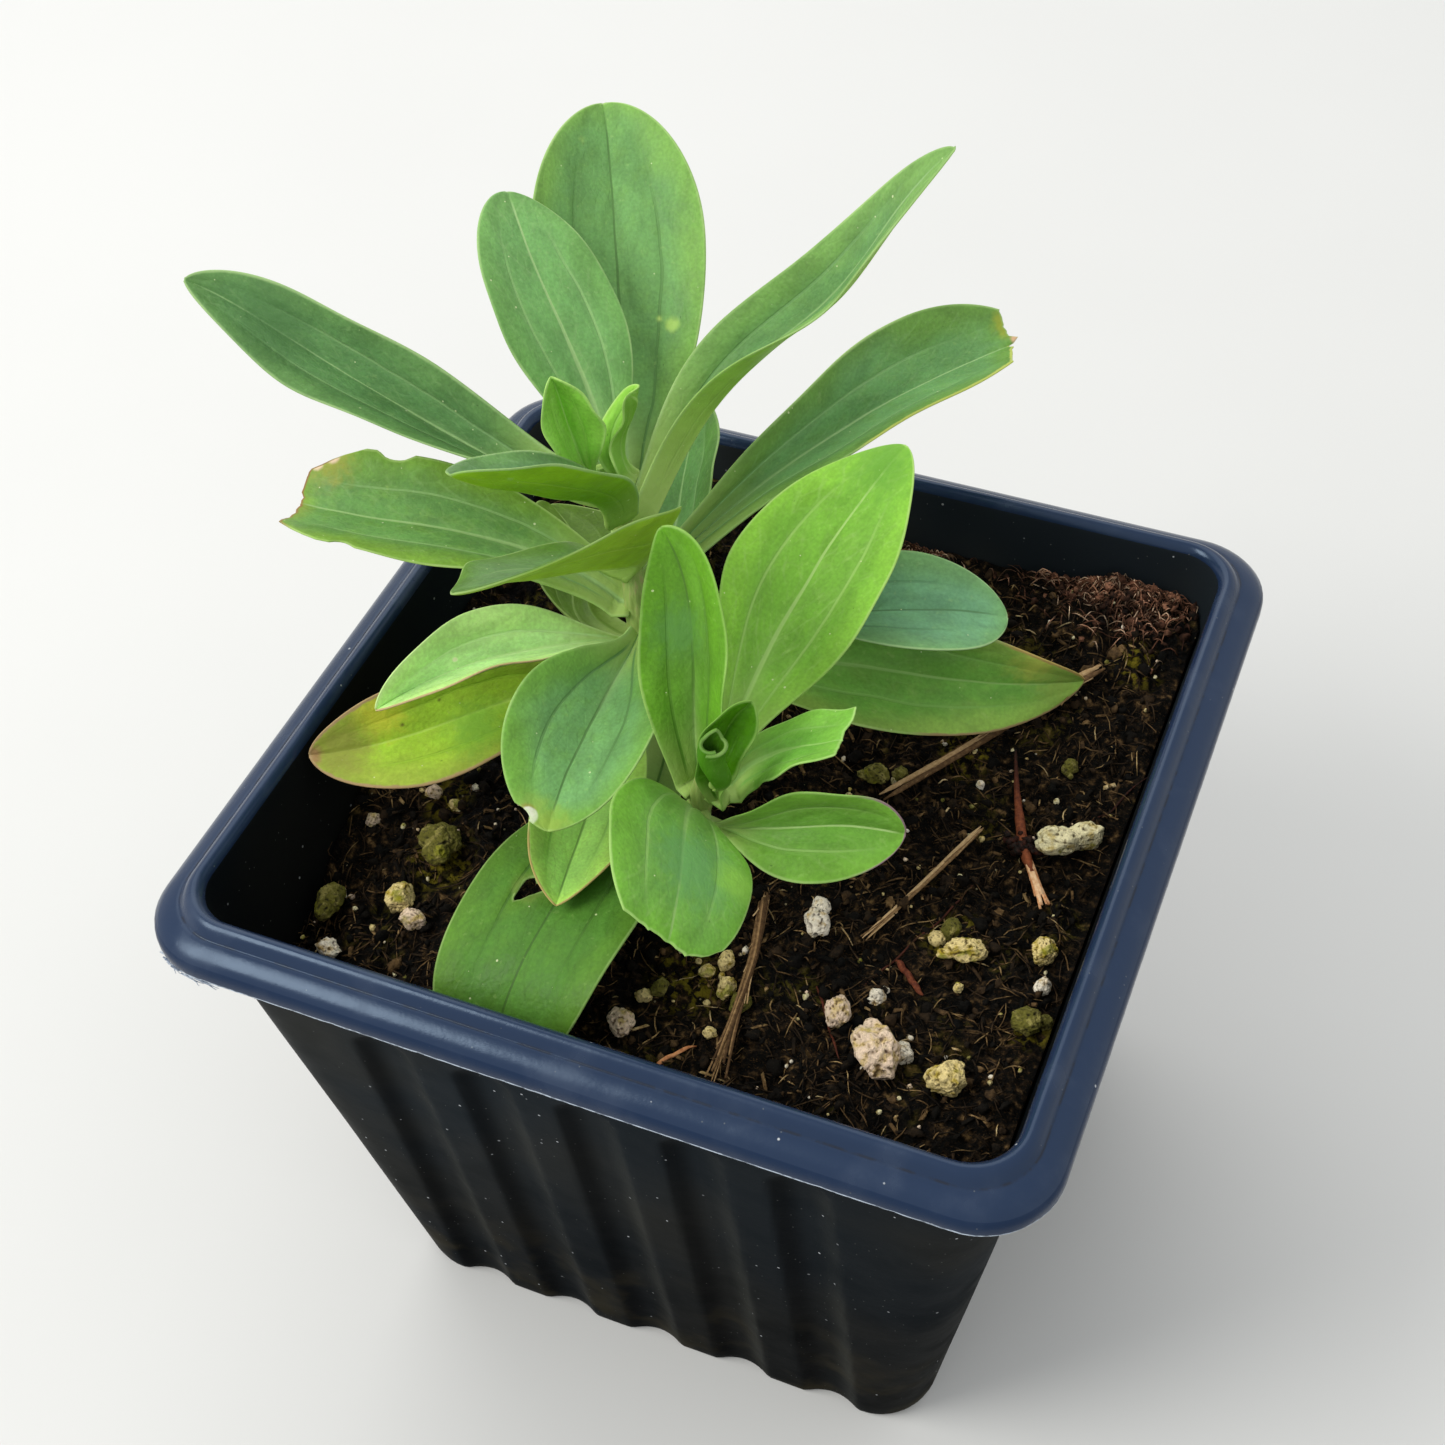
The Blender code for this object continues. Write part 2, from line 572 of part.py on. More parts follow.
def slab(grid, thickness):
    """A closed blade round a grid, split into triangles alike on both faces."""
    along = np.gradient(grid, axis=0)
    across = np.gradient(grid, axis=1)
    normal = np.cross(along, across)
    normal /= np.linalg.norm(normal, axis=2, keepdims=True)
    offset = normal * (thickness / 2)[:, None, None]
    rows, columns = grid.shape[:2]
    points = np.concatenate([(grid + offset).reshape(-1, 3), (grid - offset).reshape(-1, 3)])
    under = rows * columns
    faces = []
    for row in range(rows - 1):
        for column in range(columns - 1):
            a = row * columns + column
            b = a + columns
            faces += [(a, b, b + 1), (a, b + 1, a + 1)]
            faces += [(under + a, under + b + 1, under + b), (under + a, under + a + 1, under + b + 1)]
    first = [column for column in range(columns)]
    right = [row * columns + columns - 1 for row in range(1, rows)]
    last = [(rows - 1) * columns + column for column in range(columns - 2, -1, -1)]
    left = [row * columns for row in range(rows - 2, 0, -1)]
    edge = first + right + last + left
    for a, b in zip(edge, edge[1:] + edge[:1]):
        faces += [(a, b, under + b), (a, under + b, under + a)]
    return points, faces


def build_leaf(leaf):
    grid = leaf_grid(leaf, LEAF_ROWS, LEAF_STATIONS)
    thickness = np.array([PETIOLE + (BLADE - PETIOLE) * min(1, share / PETIOLE_SHARE) for share in LEAF_ROWS])
    points, faces = slab(grid, thickness)
    mesh_object(leaf.name, points, faces, (0.15, 0.33, 0.09), 0.45)


def build_grain(grain, soil_top):
    """A pitted lump, turned and let down until it rests on the soil."""
    work = bmesh.new()
    bmesh.ops.create_icosphere(work, subdivisions=2, radius=0.5)
    phase = grain.place[0] * 0.7 + grain.place[1] * 0.3
    points = []
    for vertex in work.verts:
        x, y, z = vertex.co
        dent = 0.13 * math.sin(9 * x + phase) * math.sin(8 * y - phase)
        size = (1 + dent + 0.08 * math.sin(11 * z + 2 * phase)) * MM
        x, y = turned(x * grain.size[0] * size, y * grain.size[1] * size, math.radians(grain.turn))
        z = max(z, GRAIN_FLAT) * grain.size[2] * size
        points.append(np.array((x + grain.place[0] * MM, y + grain.place[1] * MM, z)))
    faces = [tuple(vertex.index for vertex in face.verts) for face in work.faces]
    work.free()
    # Places all over each face are tried, because a bump of the soil can stand between its corners
    shares = [(a / 4, b / 4, 1 - (a + b) / 4) for a in range(5) for b in range(5 - a)]
    tried = []
    for a, b, c in faces:
        tried += [i * points[a] + j * points[b] + k * points[c] for i, j, k in shares]
    drop = min(z - soil_top(x, y) for x, y, z in tried) - GAP
    points = [(x, y, z - drop) for x, y, z in points]
    mesh_object(grain.name, points, faces, grain.colour, 0.9)


def build_litter(litter, soil_top):
    """A straw that lies over the bumps of the soil, stiff enough to bridge the hollows."""
    radius = litter.radius * MM
    route = []
    for (x0, y0), (x1, y1) in zip(litter.points, litter.points[1:]):
        route.append((x0 * MM, y0 * MM))
        route.append(((x0 + x1) / 2 * MM, (y0 + y1) / 2 * MM))
    route.append((litter.points[-1][0] * MM, litter.points[-1][1] * MM))
    reach = LITTER_CLEARANCE * radius
    steps = (-reach, 0, reach)
    high = [max(soil_top(x + a, y + b) for a in steps for b in steps) for x, y in route]
    level = [max(high[max(0, i - 1) : i + 2]) + radius + GAP for i in range(len(high))]
    places = [(x, y, z) for (x, y), z in zip(route, level)]
    radii = [radius] * len(places)
    radii[0] = radii[-1] = LITTER_END * radius
    points, faces = tube(places, radii, LITTER_SIDES)
    mesh_object(litter.name, points, faces, litter.colour, 0.8)


def shade():
    for thing in bpy.data.objects:
        if thing.type == "MESH" and not thing.hide_render:
            thing.data.shade_smooth()
            thing.data.set_sharp_from_angle(angle=math.radians(40))


def main():
    clear_scene()
    build_pot()
    soil = build_soil()
    soil_top = surface_finder(soil)
    build_shoot("stem_main", SHOOTS["main"], soil)
    build_shoot("stem_side", SHOOTS["side"], soil)
    for leaf in LEAVES:
        build_leaf(leaf)
    for grain in GRAINS:
        build_grain(grain, soil_top)
    for litter in LITTER:
        build_litter(litter, soil_top)
    shade()


main()
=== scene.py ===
"""The looks of the potted soapwort: fine meshes and materials for the pot, the peat, the leaves and the litter.

Metres, +Z up. The origin is the middle of the pot's underside, and the front wall faces -Y. The tables below
are in millimetres and degrees, and colours are as they look on screen, 0 to 255.
"""

from collections import namedtuple
from math import atan2, copysign, cos, hypot, pi, radians, sin, sqrt

import bmesh
import bpy
import numpy as np
from mathutils import Matrix, Vector, noise


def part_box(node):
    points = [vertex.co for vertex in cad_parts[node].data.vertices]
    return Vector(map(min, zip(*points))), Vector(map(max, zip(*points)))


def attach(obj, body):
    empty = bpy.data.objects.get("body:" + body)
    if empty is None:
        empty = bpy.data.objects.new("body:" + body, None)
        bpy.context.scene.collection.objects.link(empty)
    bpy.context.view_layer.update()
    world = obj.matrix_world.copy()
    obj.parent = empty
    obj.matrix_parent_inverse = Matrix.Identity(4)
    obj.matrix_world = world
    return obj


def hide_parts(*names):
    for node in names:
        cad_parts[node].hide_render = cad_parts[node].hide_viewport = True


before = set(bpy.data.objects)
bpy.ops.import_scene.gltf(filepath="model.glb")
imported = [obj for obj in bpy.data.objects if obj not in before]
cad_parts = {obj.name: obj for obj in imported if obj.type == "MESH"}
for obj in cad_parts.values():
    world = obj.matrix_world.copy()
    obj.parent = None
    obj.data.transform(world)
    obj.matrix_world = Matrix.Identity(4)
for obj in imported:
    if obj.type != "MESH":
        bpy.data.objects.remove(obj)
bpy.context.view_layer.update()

MM = 0.001
GAP = 0.35  # between the peat and the pot
TINY = 1e-9

# The camera: where it stands, where it looks, and its lens in pixels of the photograph
PHOTO_PIXELS = 1445
LENS_PIXELS = 2165
SENSOR = 36
CAMERA_PLACE = (0.0698, -0.1590, 0.2718)
CAMERA_HEADING = -24.35
CAMERA_DROP = 46.98
CAMERA_ROLL = -2.98
CAMERA_NEAREST = 0.01

# Light and floor, in metres and watts
Lamp = namedtuple("Lamp", "name place size power colour")
LAMPS = (
    Lamp("back_light", (-0.34, 0.46, 0.70), 0.9, 2.6, (1.0, 0.98, 0.95)),
    Lamp("front_light", (-0.50, -0.42, 0.72), 0.46, 4.7, (1.0, 0.985, 0.945)),
)
SKY = (0.97, 0.99, 1.0)
SKY_STRENGTH = 0.80
FLOOR_COLOUR = (216, 216, 214)
FLOOR_HALF = 3.0

# Pot: half width, corner radius and height of each ring, from the foot over the rim into the mouth
UNDERSIDE = ((32.9, 5.5, 0.6), (33.2, 5.7, 0.55), (33.5, 5.9, 0.05), (34.0, 6.2, 0.0))
POT_FOOT = ((36.4, 7.2, 0.0), (36.8, 7.5, 0.25), (37.0, 7.7, 0.7))
SKIRT = (
    (48.6, 9.4, 80.2), (50.4, 9.1, 80.3), (51.8, 9.0, 80.5), (52.35, 9.1, 80.8), (52.5, 9.2, 81.2),
    (52.5, 9.2, 81.45), (52.5, 9.2, 82.2), (52.4, 9.1, 82.7), (52.15, 8.95, 83.1), (51.8, 8.7, 83.5),
)
FLANGE = (
    (51.35, 8.4, 83.85), (50.8, 8.05, 84.17), (50.2, 7.7, 84.43), (49.8, 7.45, 84.56), (49.6, 7.35, 84.57),
)
BEAD = (
    (49.54, 7.3, 84.61), (49.42, 7.25, 84.77), (49.27, 7.15, 85.0), (49.05, 7.0, 85.33), (48.75, 6.8, 85.66),
    (48.4, 6.55, 85.9), (48.1, 6.4, 86.0), (47.8, 6.15, 85.93), (47.5, 5.9, 85.7), (47.2, 5.65, 85.35),
    (47.0, 5.5, 84.9),
)
SKIRT_WEAR = {2: 0.7, 3: 1.0, 4: 1.0}  # of the skirt's rings
CREASE_DIRT = {len(FLANGE) - 1: 1.0, len(FLANGE): 0.8}  # of the rings of the flange and the bead
# First and last height of each run of rings in the wall, and their count
WALL_ROWS = ((2, 62, 31), (63.5, 75, 24), (76, 79.8, 4))
INNER_HEIGHTS = (84.3, 83.4, 81, 77, 72, 60, 40, 20)
FOOT_HALF = 37.0
WALL_TOP_HALF = 48.6
WALL_TOP_HEIGHT = 80.2
WALL_CORNERS = (7.7, 9.4)
WALL_SWELL = 0.12  # unevenness of the moulded wall, and the half width that it is for
WALL_MIDDLE = 48
TRIM_ROUGHNESS = 0.1
TRIM_HALF = 52
GLOSS_HEIGHT = 83.2  # above it the rim is worn smooth
FLOOR_TOP = 2.6
INNER_FOOT_HALF = 34.6
INNER_FOOT_CORNER = 4.6
MOUTH_HALF = 47.0
MOUTH_HEIGHT = 84.9
MOUTH_CORNER = 5.5
SIDE_STEPS = 88
CORNER_STEPS = 12
FLUTE_COUNT = 5
FLUTE_PITCH = 12.6
FLUTE_HALF_WIDTH = 3.7
FLUTE_DEPTH = 1.2
FLUTE_TOP = 72.0
FLUTE_SOFTNESS = 0.05
DRAIN_RADIUS = 4.5
DRAIN_PLACE = 19
DRAIN_SIDES = 40
DRAIN_REACH = 2  # how far the cutter stands out of the floor
SHARP_ANGLE = radians(40)
WALL_COLOURS = ((27, 32, 36), (38, 39, 38))
# Painted brown sheen low on the wall, which stands in for a reflection
WALL_BROWN_SHEEN = (80, 72, 50)
# Painted light on the flutes' slopes that face the light
WALL_LIT = (60, 61, 57)
RIM_COLOUR = (31, 45, 70)
BEAD_COLOUR = (29, 43, 69)
RIM_GLOSS = 0.12
BEAD_GLOSS = 0.42
RIM_TINT = (0.62, 0.80, 1.0, 1.0)
RIM_FILM = (120, 130, 146)
RIM_DIRT = (32, 29, 32)
RIM_WORN = (196, 208, 224)
DUST = (122, 124, 120)
SCRATCH = (130, 132, 130)
GRIT = (196, 200, 204)

# The frayed burr that trimming left on the skirt's front left corner
BURR_COUNT = 22
BURR_STEPS = 6
BURR_START = (-49.5, -43)
BURR_LINE = -52.2
BURR_BEND = (-44.5, 0.075)
BURR_HEIGHT = 80.6
BURR_TONES = ((0.0, (60, 70, 90)), (0.5, (130, 142, 160)), (1.0, (196, 204, 214)))

# Soil
SOIL_LEVEL = 74.0
BACK_RISE = 2.8
BACK_RISE_START = 4
BACK_RISE_LENGTH = 40
FRONT_DIP = 1.0
FRONT_DIP_PLACE = -47
FRONT_DIP_SPREAD = 9
SOIL_HUMPS = ((-8.5, -47, -38, 12), (3.0, -24, 47, 12), (3.0, 37, 41, 7))
# Low waves: height, and the factors of x, of y and the start of each of two sines
SOIL_WAVES = ((0.4, (0.55, 0, 1.3), (0, 0.47, 0.4)), (0.3, (0.91, -0.62, 2), (0.5, 0.7, 0)))
SOIL_CELLS = 280
SOIL_RINGS = (62, 40, FLOOR_TOP + GAP)
CRUMB_COUNT = 1300
CHIP_COUNT = 2600
CHIP_FACES = ((0, 1, 3, 2), (4, 6, 7, 5), (0, 4, 5, 1), (2, 3, 7, 6), (0, 2, 6, 4), (1, 5, 7, 3))
FIBRE_COUNT = 4000
FIBRE_STEPS = 4
FIBRE_TAPER = (0.5, 1, 1, 1, 0.4)
FIBRE_CLEARANCE = 0.08
MAT_FIBRES = 1000
# Middle and spread of each patch of russet roots
MAT_PLACES = ((34, 45, 5.5, 3.2), (37, 40, 3.0, 2.5), (6.8, 49, 2.5, 1.5))
MOSS_PLACES = (
    (5, -29, 4.5), (-30, -22, 4), (31, -13, 3.5), (40, 33, 3), (24, 14, 3.5), (-33, -14, 3), (43, -22, 2.5),
)
SOIL_TONES = (
    (0.36, (4, 4, 3)), (0.49, (12, 10, 7)), (0.58, (40, 30, 19)), (0.65, (86, 66, 41)), (0.74, (140, 112, 72)),
)
PEAT_TONES = (
    (0.0, (5, 5, 4)), (0.3, (20, 16, 11)), (0.55, (54, 41, 27)), (0.75, (106, 82, 52)), (0.9, (166, 138, 92)),
    (1.0, (206, 184, 138)),
)
RUSSET_TONES = ((0.0, (16, 11, 8)), (0.35, (92, 60, 44)), (0.6, (160, 114, 88)), (1.0, (236, 208, 174)))
SOIL_FIBRE = (104, 78, 46)
ALGAE = (88, 82, 22)
MOSS = (128, 116, 30)
SOIL_SPECK = (176, 164, 128)

# Leaves: the same shoots and blades as the solids
SPINE_STEPS = 48
LEAST_HALF_WIDTH = 0.3
NECK_CURVE = 1.6
CURL = 1.5
Shoot = namedtuple("Shoot", "foot top radius top_radius")
SHOOTS = {
    "main": Shoot((-11.5, 3.9, 63), (-18.3, 9.0, 113), 2.1, 0.95),
    "side": Shoot((-3.1, -12.5, 63), (3.2, -17.0, 96), 1.8, 1.1),
}
Leaf = namedtuple(
    "Leaf",
    "name shoot height out heading rise length width roll fold widest neck sway blunt",
)
LEAVES = (
    Leaf("leaf_back_tall", "main", 101.5, 3.0, (117, 102, 125), (42, 37, 30),
         52.5, 22, (19, 5), (20, 23), 0.65, 0.2, -0.5, 0.6),
    Leaf("leaf_upper_left", "main", 106, 3.0, (131, 145, 135), (55, 59, 18),
         38, 16, (1, 22), (11, 4), 0.6, 0.15, -0.5, 0.55),
    Leaf("leaf_long_left", "main", 107, 2.6, (183, 146, 200), (-11, 39, 20),
         58, 16, (-6, -46), (66, 35), 0.5, 0.45, -1.5, 0.65),
    Leaf("leaf_bitten_left", "main", 93, 2.4, (-180, -144, -191), (39, 3, -4),
         44.5, 16.5, (-8, -11), (16, 31), 0.6, 0.35, 0, 0.3),
    Leaf("leaf_far_right", "main", 103.5, 3.6, (60, 48, -22), (31, 66, 52),
         59, 12.5, (-34, 38), (69, 8), 0.4, 0.5, 3.5, 0.65),
    Leaf("leaf_right_nibbled", "main", 95.5, 3.4, (64, 63, 51), (25, -12, 6),
         59, 17.5, (35, 5), (55, 36), 0.75, 0.35, -0.5, 0.5),
    Leaf("leaf_arched_upper", "main", 108, 4.4, (-79, -107, -133), (73, 16, 45),
         31.5, 13, (-18, 39), (54, 17), 0.65, 0.55, 0.5, 0.6),
    Leaf("leaf_arched_middle", "main", 99.5, 2.8, (-76, -74, -145), (67, 12, 24),
         38, 19.5, (17, 38), (42, 3), 0.5, 0.65, 2.5, 0.6),
    Leaf("leaf_behind_right", "main", 91.5, 2.5, (92, 117, 96), (-6, 5, 13),
         36, 14.5, (-12, -20), (41, 28), 0.55, 0.25, 0, 0.6),
    Leaf("leaf_low_back", "main", 86, 2.4, (152, 136, 117), (-11, -5, 5),
         31.5, 14.5, (8, 18), (45, 27), 0.65, 0.3, 2.5, 0.6),
    Leaf("leaf_crown_left", "main", 112.5, 2.8, (-133, -135, -146), (68, 90, 75),
         15, 8.5, (-81, -88), (40, 42), 0.55, 0.2, 0.5, 0.6),
    Leaf("leaf_crown_right", "main", 111, 2.4, (33, -6, -40), (110, 85, 69),
         12.5, 6.5, (63, 25), (78, 1), 0.55, 0.5, -1.5, 0.6),
    Leaf("leaf_front_left", "main", 88.5, 2.6, (-136, -119, -124), (32, 6, -1),
         33, 12, (4, -27), (29, 56), 0.5, 0.15, 0.5, 0.6),
    Leaf("leaf_yellowing", "main", 83, 2.8, (-139, -130, -147), (16, -9, 1),
         39.5, 14.5, (-29, -50), (33, 22), 0.55, 0.25, -0.5, 0.6),
    Leaf("leaf_front_broad", "main", 90, 2.5, (-82, -88, -79), (9, 16, -11),
         33, 18.5, (-8, -3), (49, 10), 0.55, 0.2, 0, 0.6),
    Leaf("leaf_front_under", "main", 84.5, 2.8, (-87, -81, -75), (-11, 1, 15),
         36.5, 13.5, (-6, -8), (19, 30), 0.6, 0.25, 0, 0.6),
    Leaf("leaf_bottom", "main", 80, 2.6, (-65, -119, -79), (-37, 93, -76),
         53.5, 21, (3, 10), (-4, 7), 0.7, 0.45, -1.5, 0.25),
    Leaf("leaf_right_blue", "main", 88.5, 2.6, (12, 25, 32), (23, 7, -23),
         42.5, 15, (-7, 16), (46, 5), 0.7, 0.25, 0, 0.6),
    Leaf("leaf_right_low", "main", 83, 3.0, (13, 24, 33), (22, -22, -12),
         51.5, 15.5, (3, 81), (11, 24), 0.45, 0.25, 1, 0.65),
    Leaf("side_leaf_light", "side", 90.5, 3.4, (90, 83, 62), (20, 20, 29),
         46, 19, (36, -11), (38, 0), 0.55, 0.15, 0, 0.6),
    Leaf("side_leaf_upright", "side", 91.5, 2.4, (123, 80, 159), (86, 71, 35),
         30.5, 12, (-9, -35), (36, 26), 0.5, 0.5, 0, 0.6),
    Leaf("side_leaf_front", "side", 89.5, 2.7, (-79, -60, -81), (77, -2, -12),
         30, 18, (-32, -42), (0, 0), 0.6, 0.25, 0, 0.55),
    Leaf("side_leaf_right", "side", 86.5, 2.8, (-10, 8, 19), (34, 13, -9),
         22.5, 13, (66, 67), (56, 18), 0.55, 0.15, -0.5, 0.6),
    Leaf("side_leaf_cut", "side", 92, 3.4, (37, -21, -1), (43, 49, 25),
         19, 10.5, (11, -8), (0, 14), 0.6, 0.5, 0.5, 0.3),
    Leaf("side_leaf_cup", "side", 92.5, 3.1, (-12, 37, 41), (108, 82, 41),
         15.5, 6.5, (76, 81), (54, 24), 0.7, 0.55, -0.5, 0.6),
    Leaf("side_leaf_rolled", "side", 98, 3.4, (-54, -71, -123), (52, 102, 100),
         8.5, 5, (-100, -100), (12, 16), 0.6, 0.5, 0.5, 0.6),
)
Torn = namedtuple("Torn", "whole edge")
TORN = {
    "leaf_bitten_left": Torn(
        1.2, ((-1, 0.76), (-0.87, 0.83), (-0.6, 0.93), (-0.2, 0.925), (0.3, 0.905), (0.7, 0.91), (1, 0.78))
    ),
    "leaf_right_nibbled": Torn(
        1.03,
        ((-1, 0.9), (-0.5, 0.945), (-0.1, 0.972), (0.02, 0.968), (0.08, 0.99), (0.22, 0.994), (0.28, 0.977),
         (0.6, 0.981), (1, 0.985)),
    ),
    "side_leaf_front": Torn(
        1.05, ((-1, 0.93), (-0.5, 0.955), (0, 0.965), (0.5, 0.98), (0.85, 0.955), (1, 0.9))
    ),
    "side_leaf_cut": Torn(1.25, ((-1, 0.99), (-0.6, 0.95), (0, 0.9), (0.3, 0.88), (0.7, 0.9), (1, 0.88))),
}
TEAR_START = 0.75
TEAR_RAGGED = 0.006  # share of the length by which a torn edge wanders
# Bites out of a margin: side, middle and half length as shares of the length, and depth as a share of the
# half width
Bite = namedtuple("Bite", "side middle reach depth")
BITES = {
    "leaf_bitten_left": (Bite(-1, 0.675, 0.045, 0.10), Bite(1, 0.725, 0.025, 0.12)),
    "leaf_front_broad": (Bite(-1, 0.955, 0.022, 0.25),),
}
# A hole eaten through a blade: its middle along and across the blade, and its half sizes
Hole = namedtuple("Hole", "along across long wide turn")
HOLES = {"leaf_bottom": Hole(34.9, -3.8, 1.75, 1.15, -0.43)}

# Fine leaf mesh
LEAF_ROWS = 76
ROW_CROWDING = 1.6
LEAF_COLUMNS = 37
COLUMN_CROWDING = 0.7  # towards the midrib, the side veins and the margins
FOOT_SHARES = (0.8, 0.5, 0.25)  # of the way from a leaf's foot into the middle of its stem
FOOT_NARROWING = 0.35
SIDE_VEIN = 0.5  # of the way from the midrib to the margin
BLADE = 0.42
PETIOLE = 0.75
PETIOLE_SHARE = 0.3
EDGE_THIN = 0.7  # how much of its thickness a blade loses at its very edge
EDGE_REACH = 0.35
GROOVE = 0.15
GROOVE_WIDTH = 0.32
KEEL = 0.32
KEEL_WIDTH = 0.5
QUILT = 0.11
RIPPLE = 0.22
RIPPLE_TURNS = 2.6
UNEVEN = 0.3

# The leaf that is still rolled up
ROLLED = "side_leaf_rolled"
ROLL_ROWS = 40
ROLL_COLUMNS = 90
ROLL_TURNS = 1.12
ROLL_RADIUS = 1.35
ROLL_BACK = radians(110)
ROLL_END = 0.88
ROLL_POINT = 0.8
ROLL_MOUTH = 0.35
ROLL_TIGHTENING = 0.06
ROLL_VEIN = 0.6
ROLL_EDGE = 0.14

# Stems
STEM_STEPS = 110
STEM_SIDES = 20
STEM_SLIMNESS = 0.94
NODE_SWELL = 0.07
NODE_REACH = 1.3
STEM_END = 1.5
STEM_TONES = ((0.3, (126, 148, 72)), (0.55, (158, 180, 100)), (0.8, (176, 152, 118)))

# Colours of the leaves. The midrib and the side veins are paler than the blade by a share, or darker where
# the share is negative.
Look = namedtuple("Look", "centre margin under rib vein")
PALE_VEIN = (208, 228, 166)
DARK_VEIN = (48, 72, 30)
FOOT_TONE = (168, 194, 108)
# The centre colours hold a painted bluish sheen, which stands in for the sky's reflection on the blades
LOOKS = {
    "leaf_back_tall": Look((110, 158, 90), (122, 168, 80), (140, 180, 90), -0.35, -0.22),
    "leaf_upper_left": Look((118, 170, 98), (116, 166, 90), (130, 172, 90), 0.5, 0.28),
    "leaf_long_left": Look((98, 142, 86), (102, 144, 82), (112, 150, 76), 0.4, 0.25),
    "leaf_bitten_left": Look((102, 148, 77), (122, 162, 60), (120, 156, 70), 0.42, 0.28),
    "leaf_far_right": Look((104, 148, 88), (118, 160, 84), (147, 190, 78), 0.35, 0.12),
    "leaf_right_nibbled": Look((110, 158, 96), (106, 148, 68), (128, 166, 76), 0.42, 0.22),
    "leaf_arched_upper": Look((104, 142, 108), (98, 140, 76), (126, 174, 26), 0.4, 0.25),
    "leaf_arched_middle": Look((116, 155, 95), (90, 130, 42), (146, 184, 48), 0.4, 0.25),
    "leaf_behind_right": Look((88, 133, 70), (82, 126, 50), (110, 150, 62), 0.35, 0.2),
    "leaf_low_back": Look((98, 132, 42), (92, 126, 30), (118, 148, 56), 0.35, 0.2),
    "leaf_crown_left": Look((136, 204, 64), (146, 206, 80), (132, 180, 66), 0.4, 0.2),
    "leaf_crown_right": Look((120, 178, 60), (136, 190, 70), (118, 170, 58), 0.4, 0.2),
    # Painted light: the front left and front under leaves lie in the shade of others and are painted much lighter
    "leaf_front_left": Look((184, 228, 148), (190, 230, 138), (150, 186, 96), 0.45, 0.3),
    "leaf_yellowing": Look((166, 206, 58), (154, 176, 62), (150, 170, 60), 0.25, -0.12),
    "leaf_front_broad": Look((118, 170, 103), (120, 172, 73), (136, 174, 78), -0.45, -0.3),
    "leaf_front_under": Look((158, 212, 104), (174, 220, 98), (136, 172, 78), -0.45, -0.15),
    "leaf_bottom": Look((80, 128, 46), (88, 132, 42), (112, 152, 62), -0.45, -0.35),
    "leaf_right_blue": Look((112, 164, 120), (116, 164, 102), (122, 160, 82), -0.35, -0.2),
    "leaf_right_low": Look((116, 176, 72), (144, 184, 80), (120, 150, 58), 0.35, 0.2),
    "side_leaf_light": Look((120, 176, 60), (134, 190, 62), (140, 190, 76), 0.5, 0.35),
    "side_leaf_upright": Look((96, 146, 48), (104, 162, 40), (104, 150, 44), -0.3, -0.12),
    "side_leaf_front": Look((108, 162, 66), (112, 170, 56), (126, 172, 66), 0.35, 0.3),
    "side_leaf_right": Look((106, 160, 58), (118, 172, 60), (124, 168, 62), 0.6, 0.3),
    "side_leaf_cut": Look((106, 166, 61), (120, 178, 66), (120, 164, 62), 0.35, 0.22),
    "side_leaf_cup": Look((56, 112, 6), (72, 130, 10), (96, 146, 44), 0.2, 0.1),
    "side_leaf_rolled": Look((42, 90, 8), (56, 102, 14), (70, 124, 22), 0.1, 0.1),
}
YOUNG = ("leaf_crown_left", "leaf_crown_right", "side_leaf_light", "side_leaf_upright", "side_leaf_cut",
         "side_leaf_cup", "side_leaf_rolled")
AGEING = ("leaf_yellowing",)
FLECK = (222, 230, 180)
DARK_FLECK = (52, 74, 34)

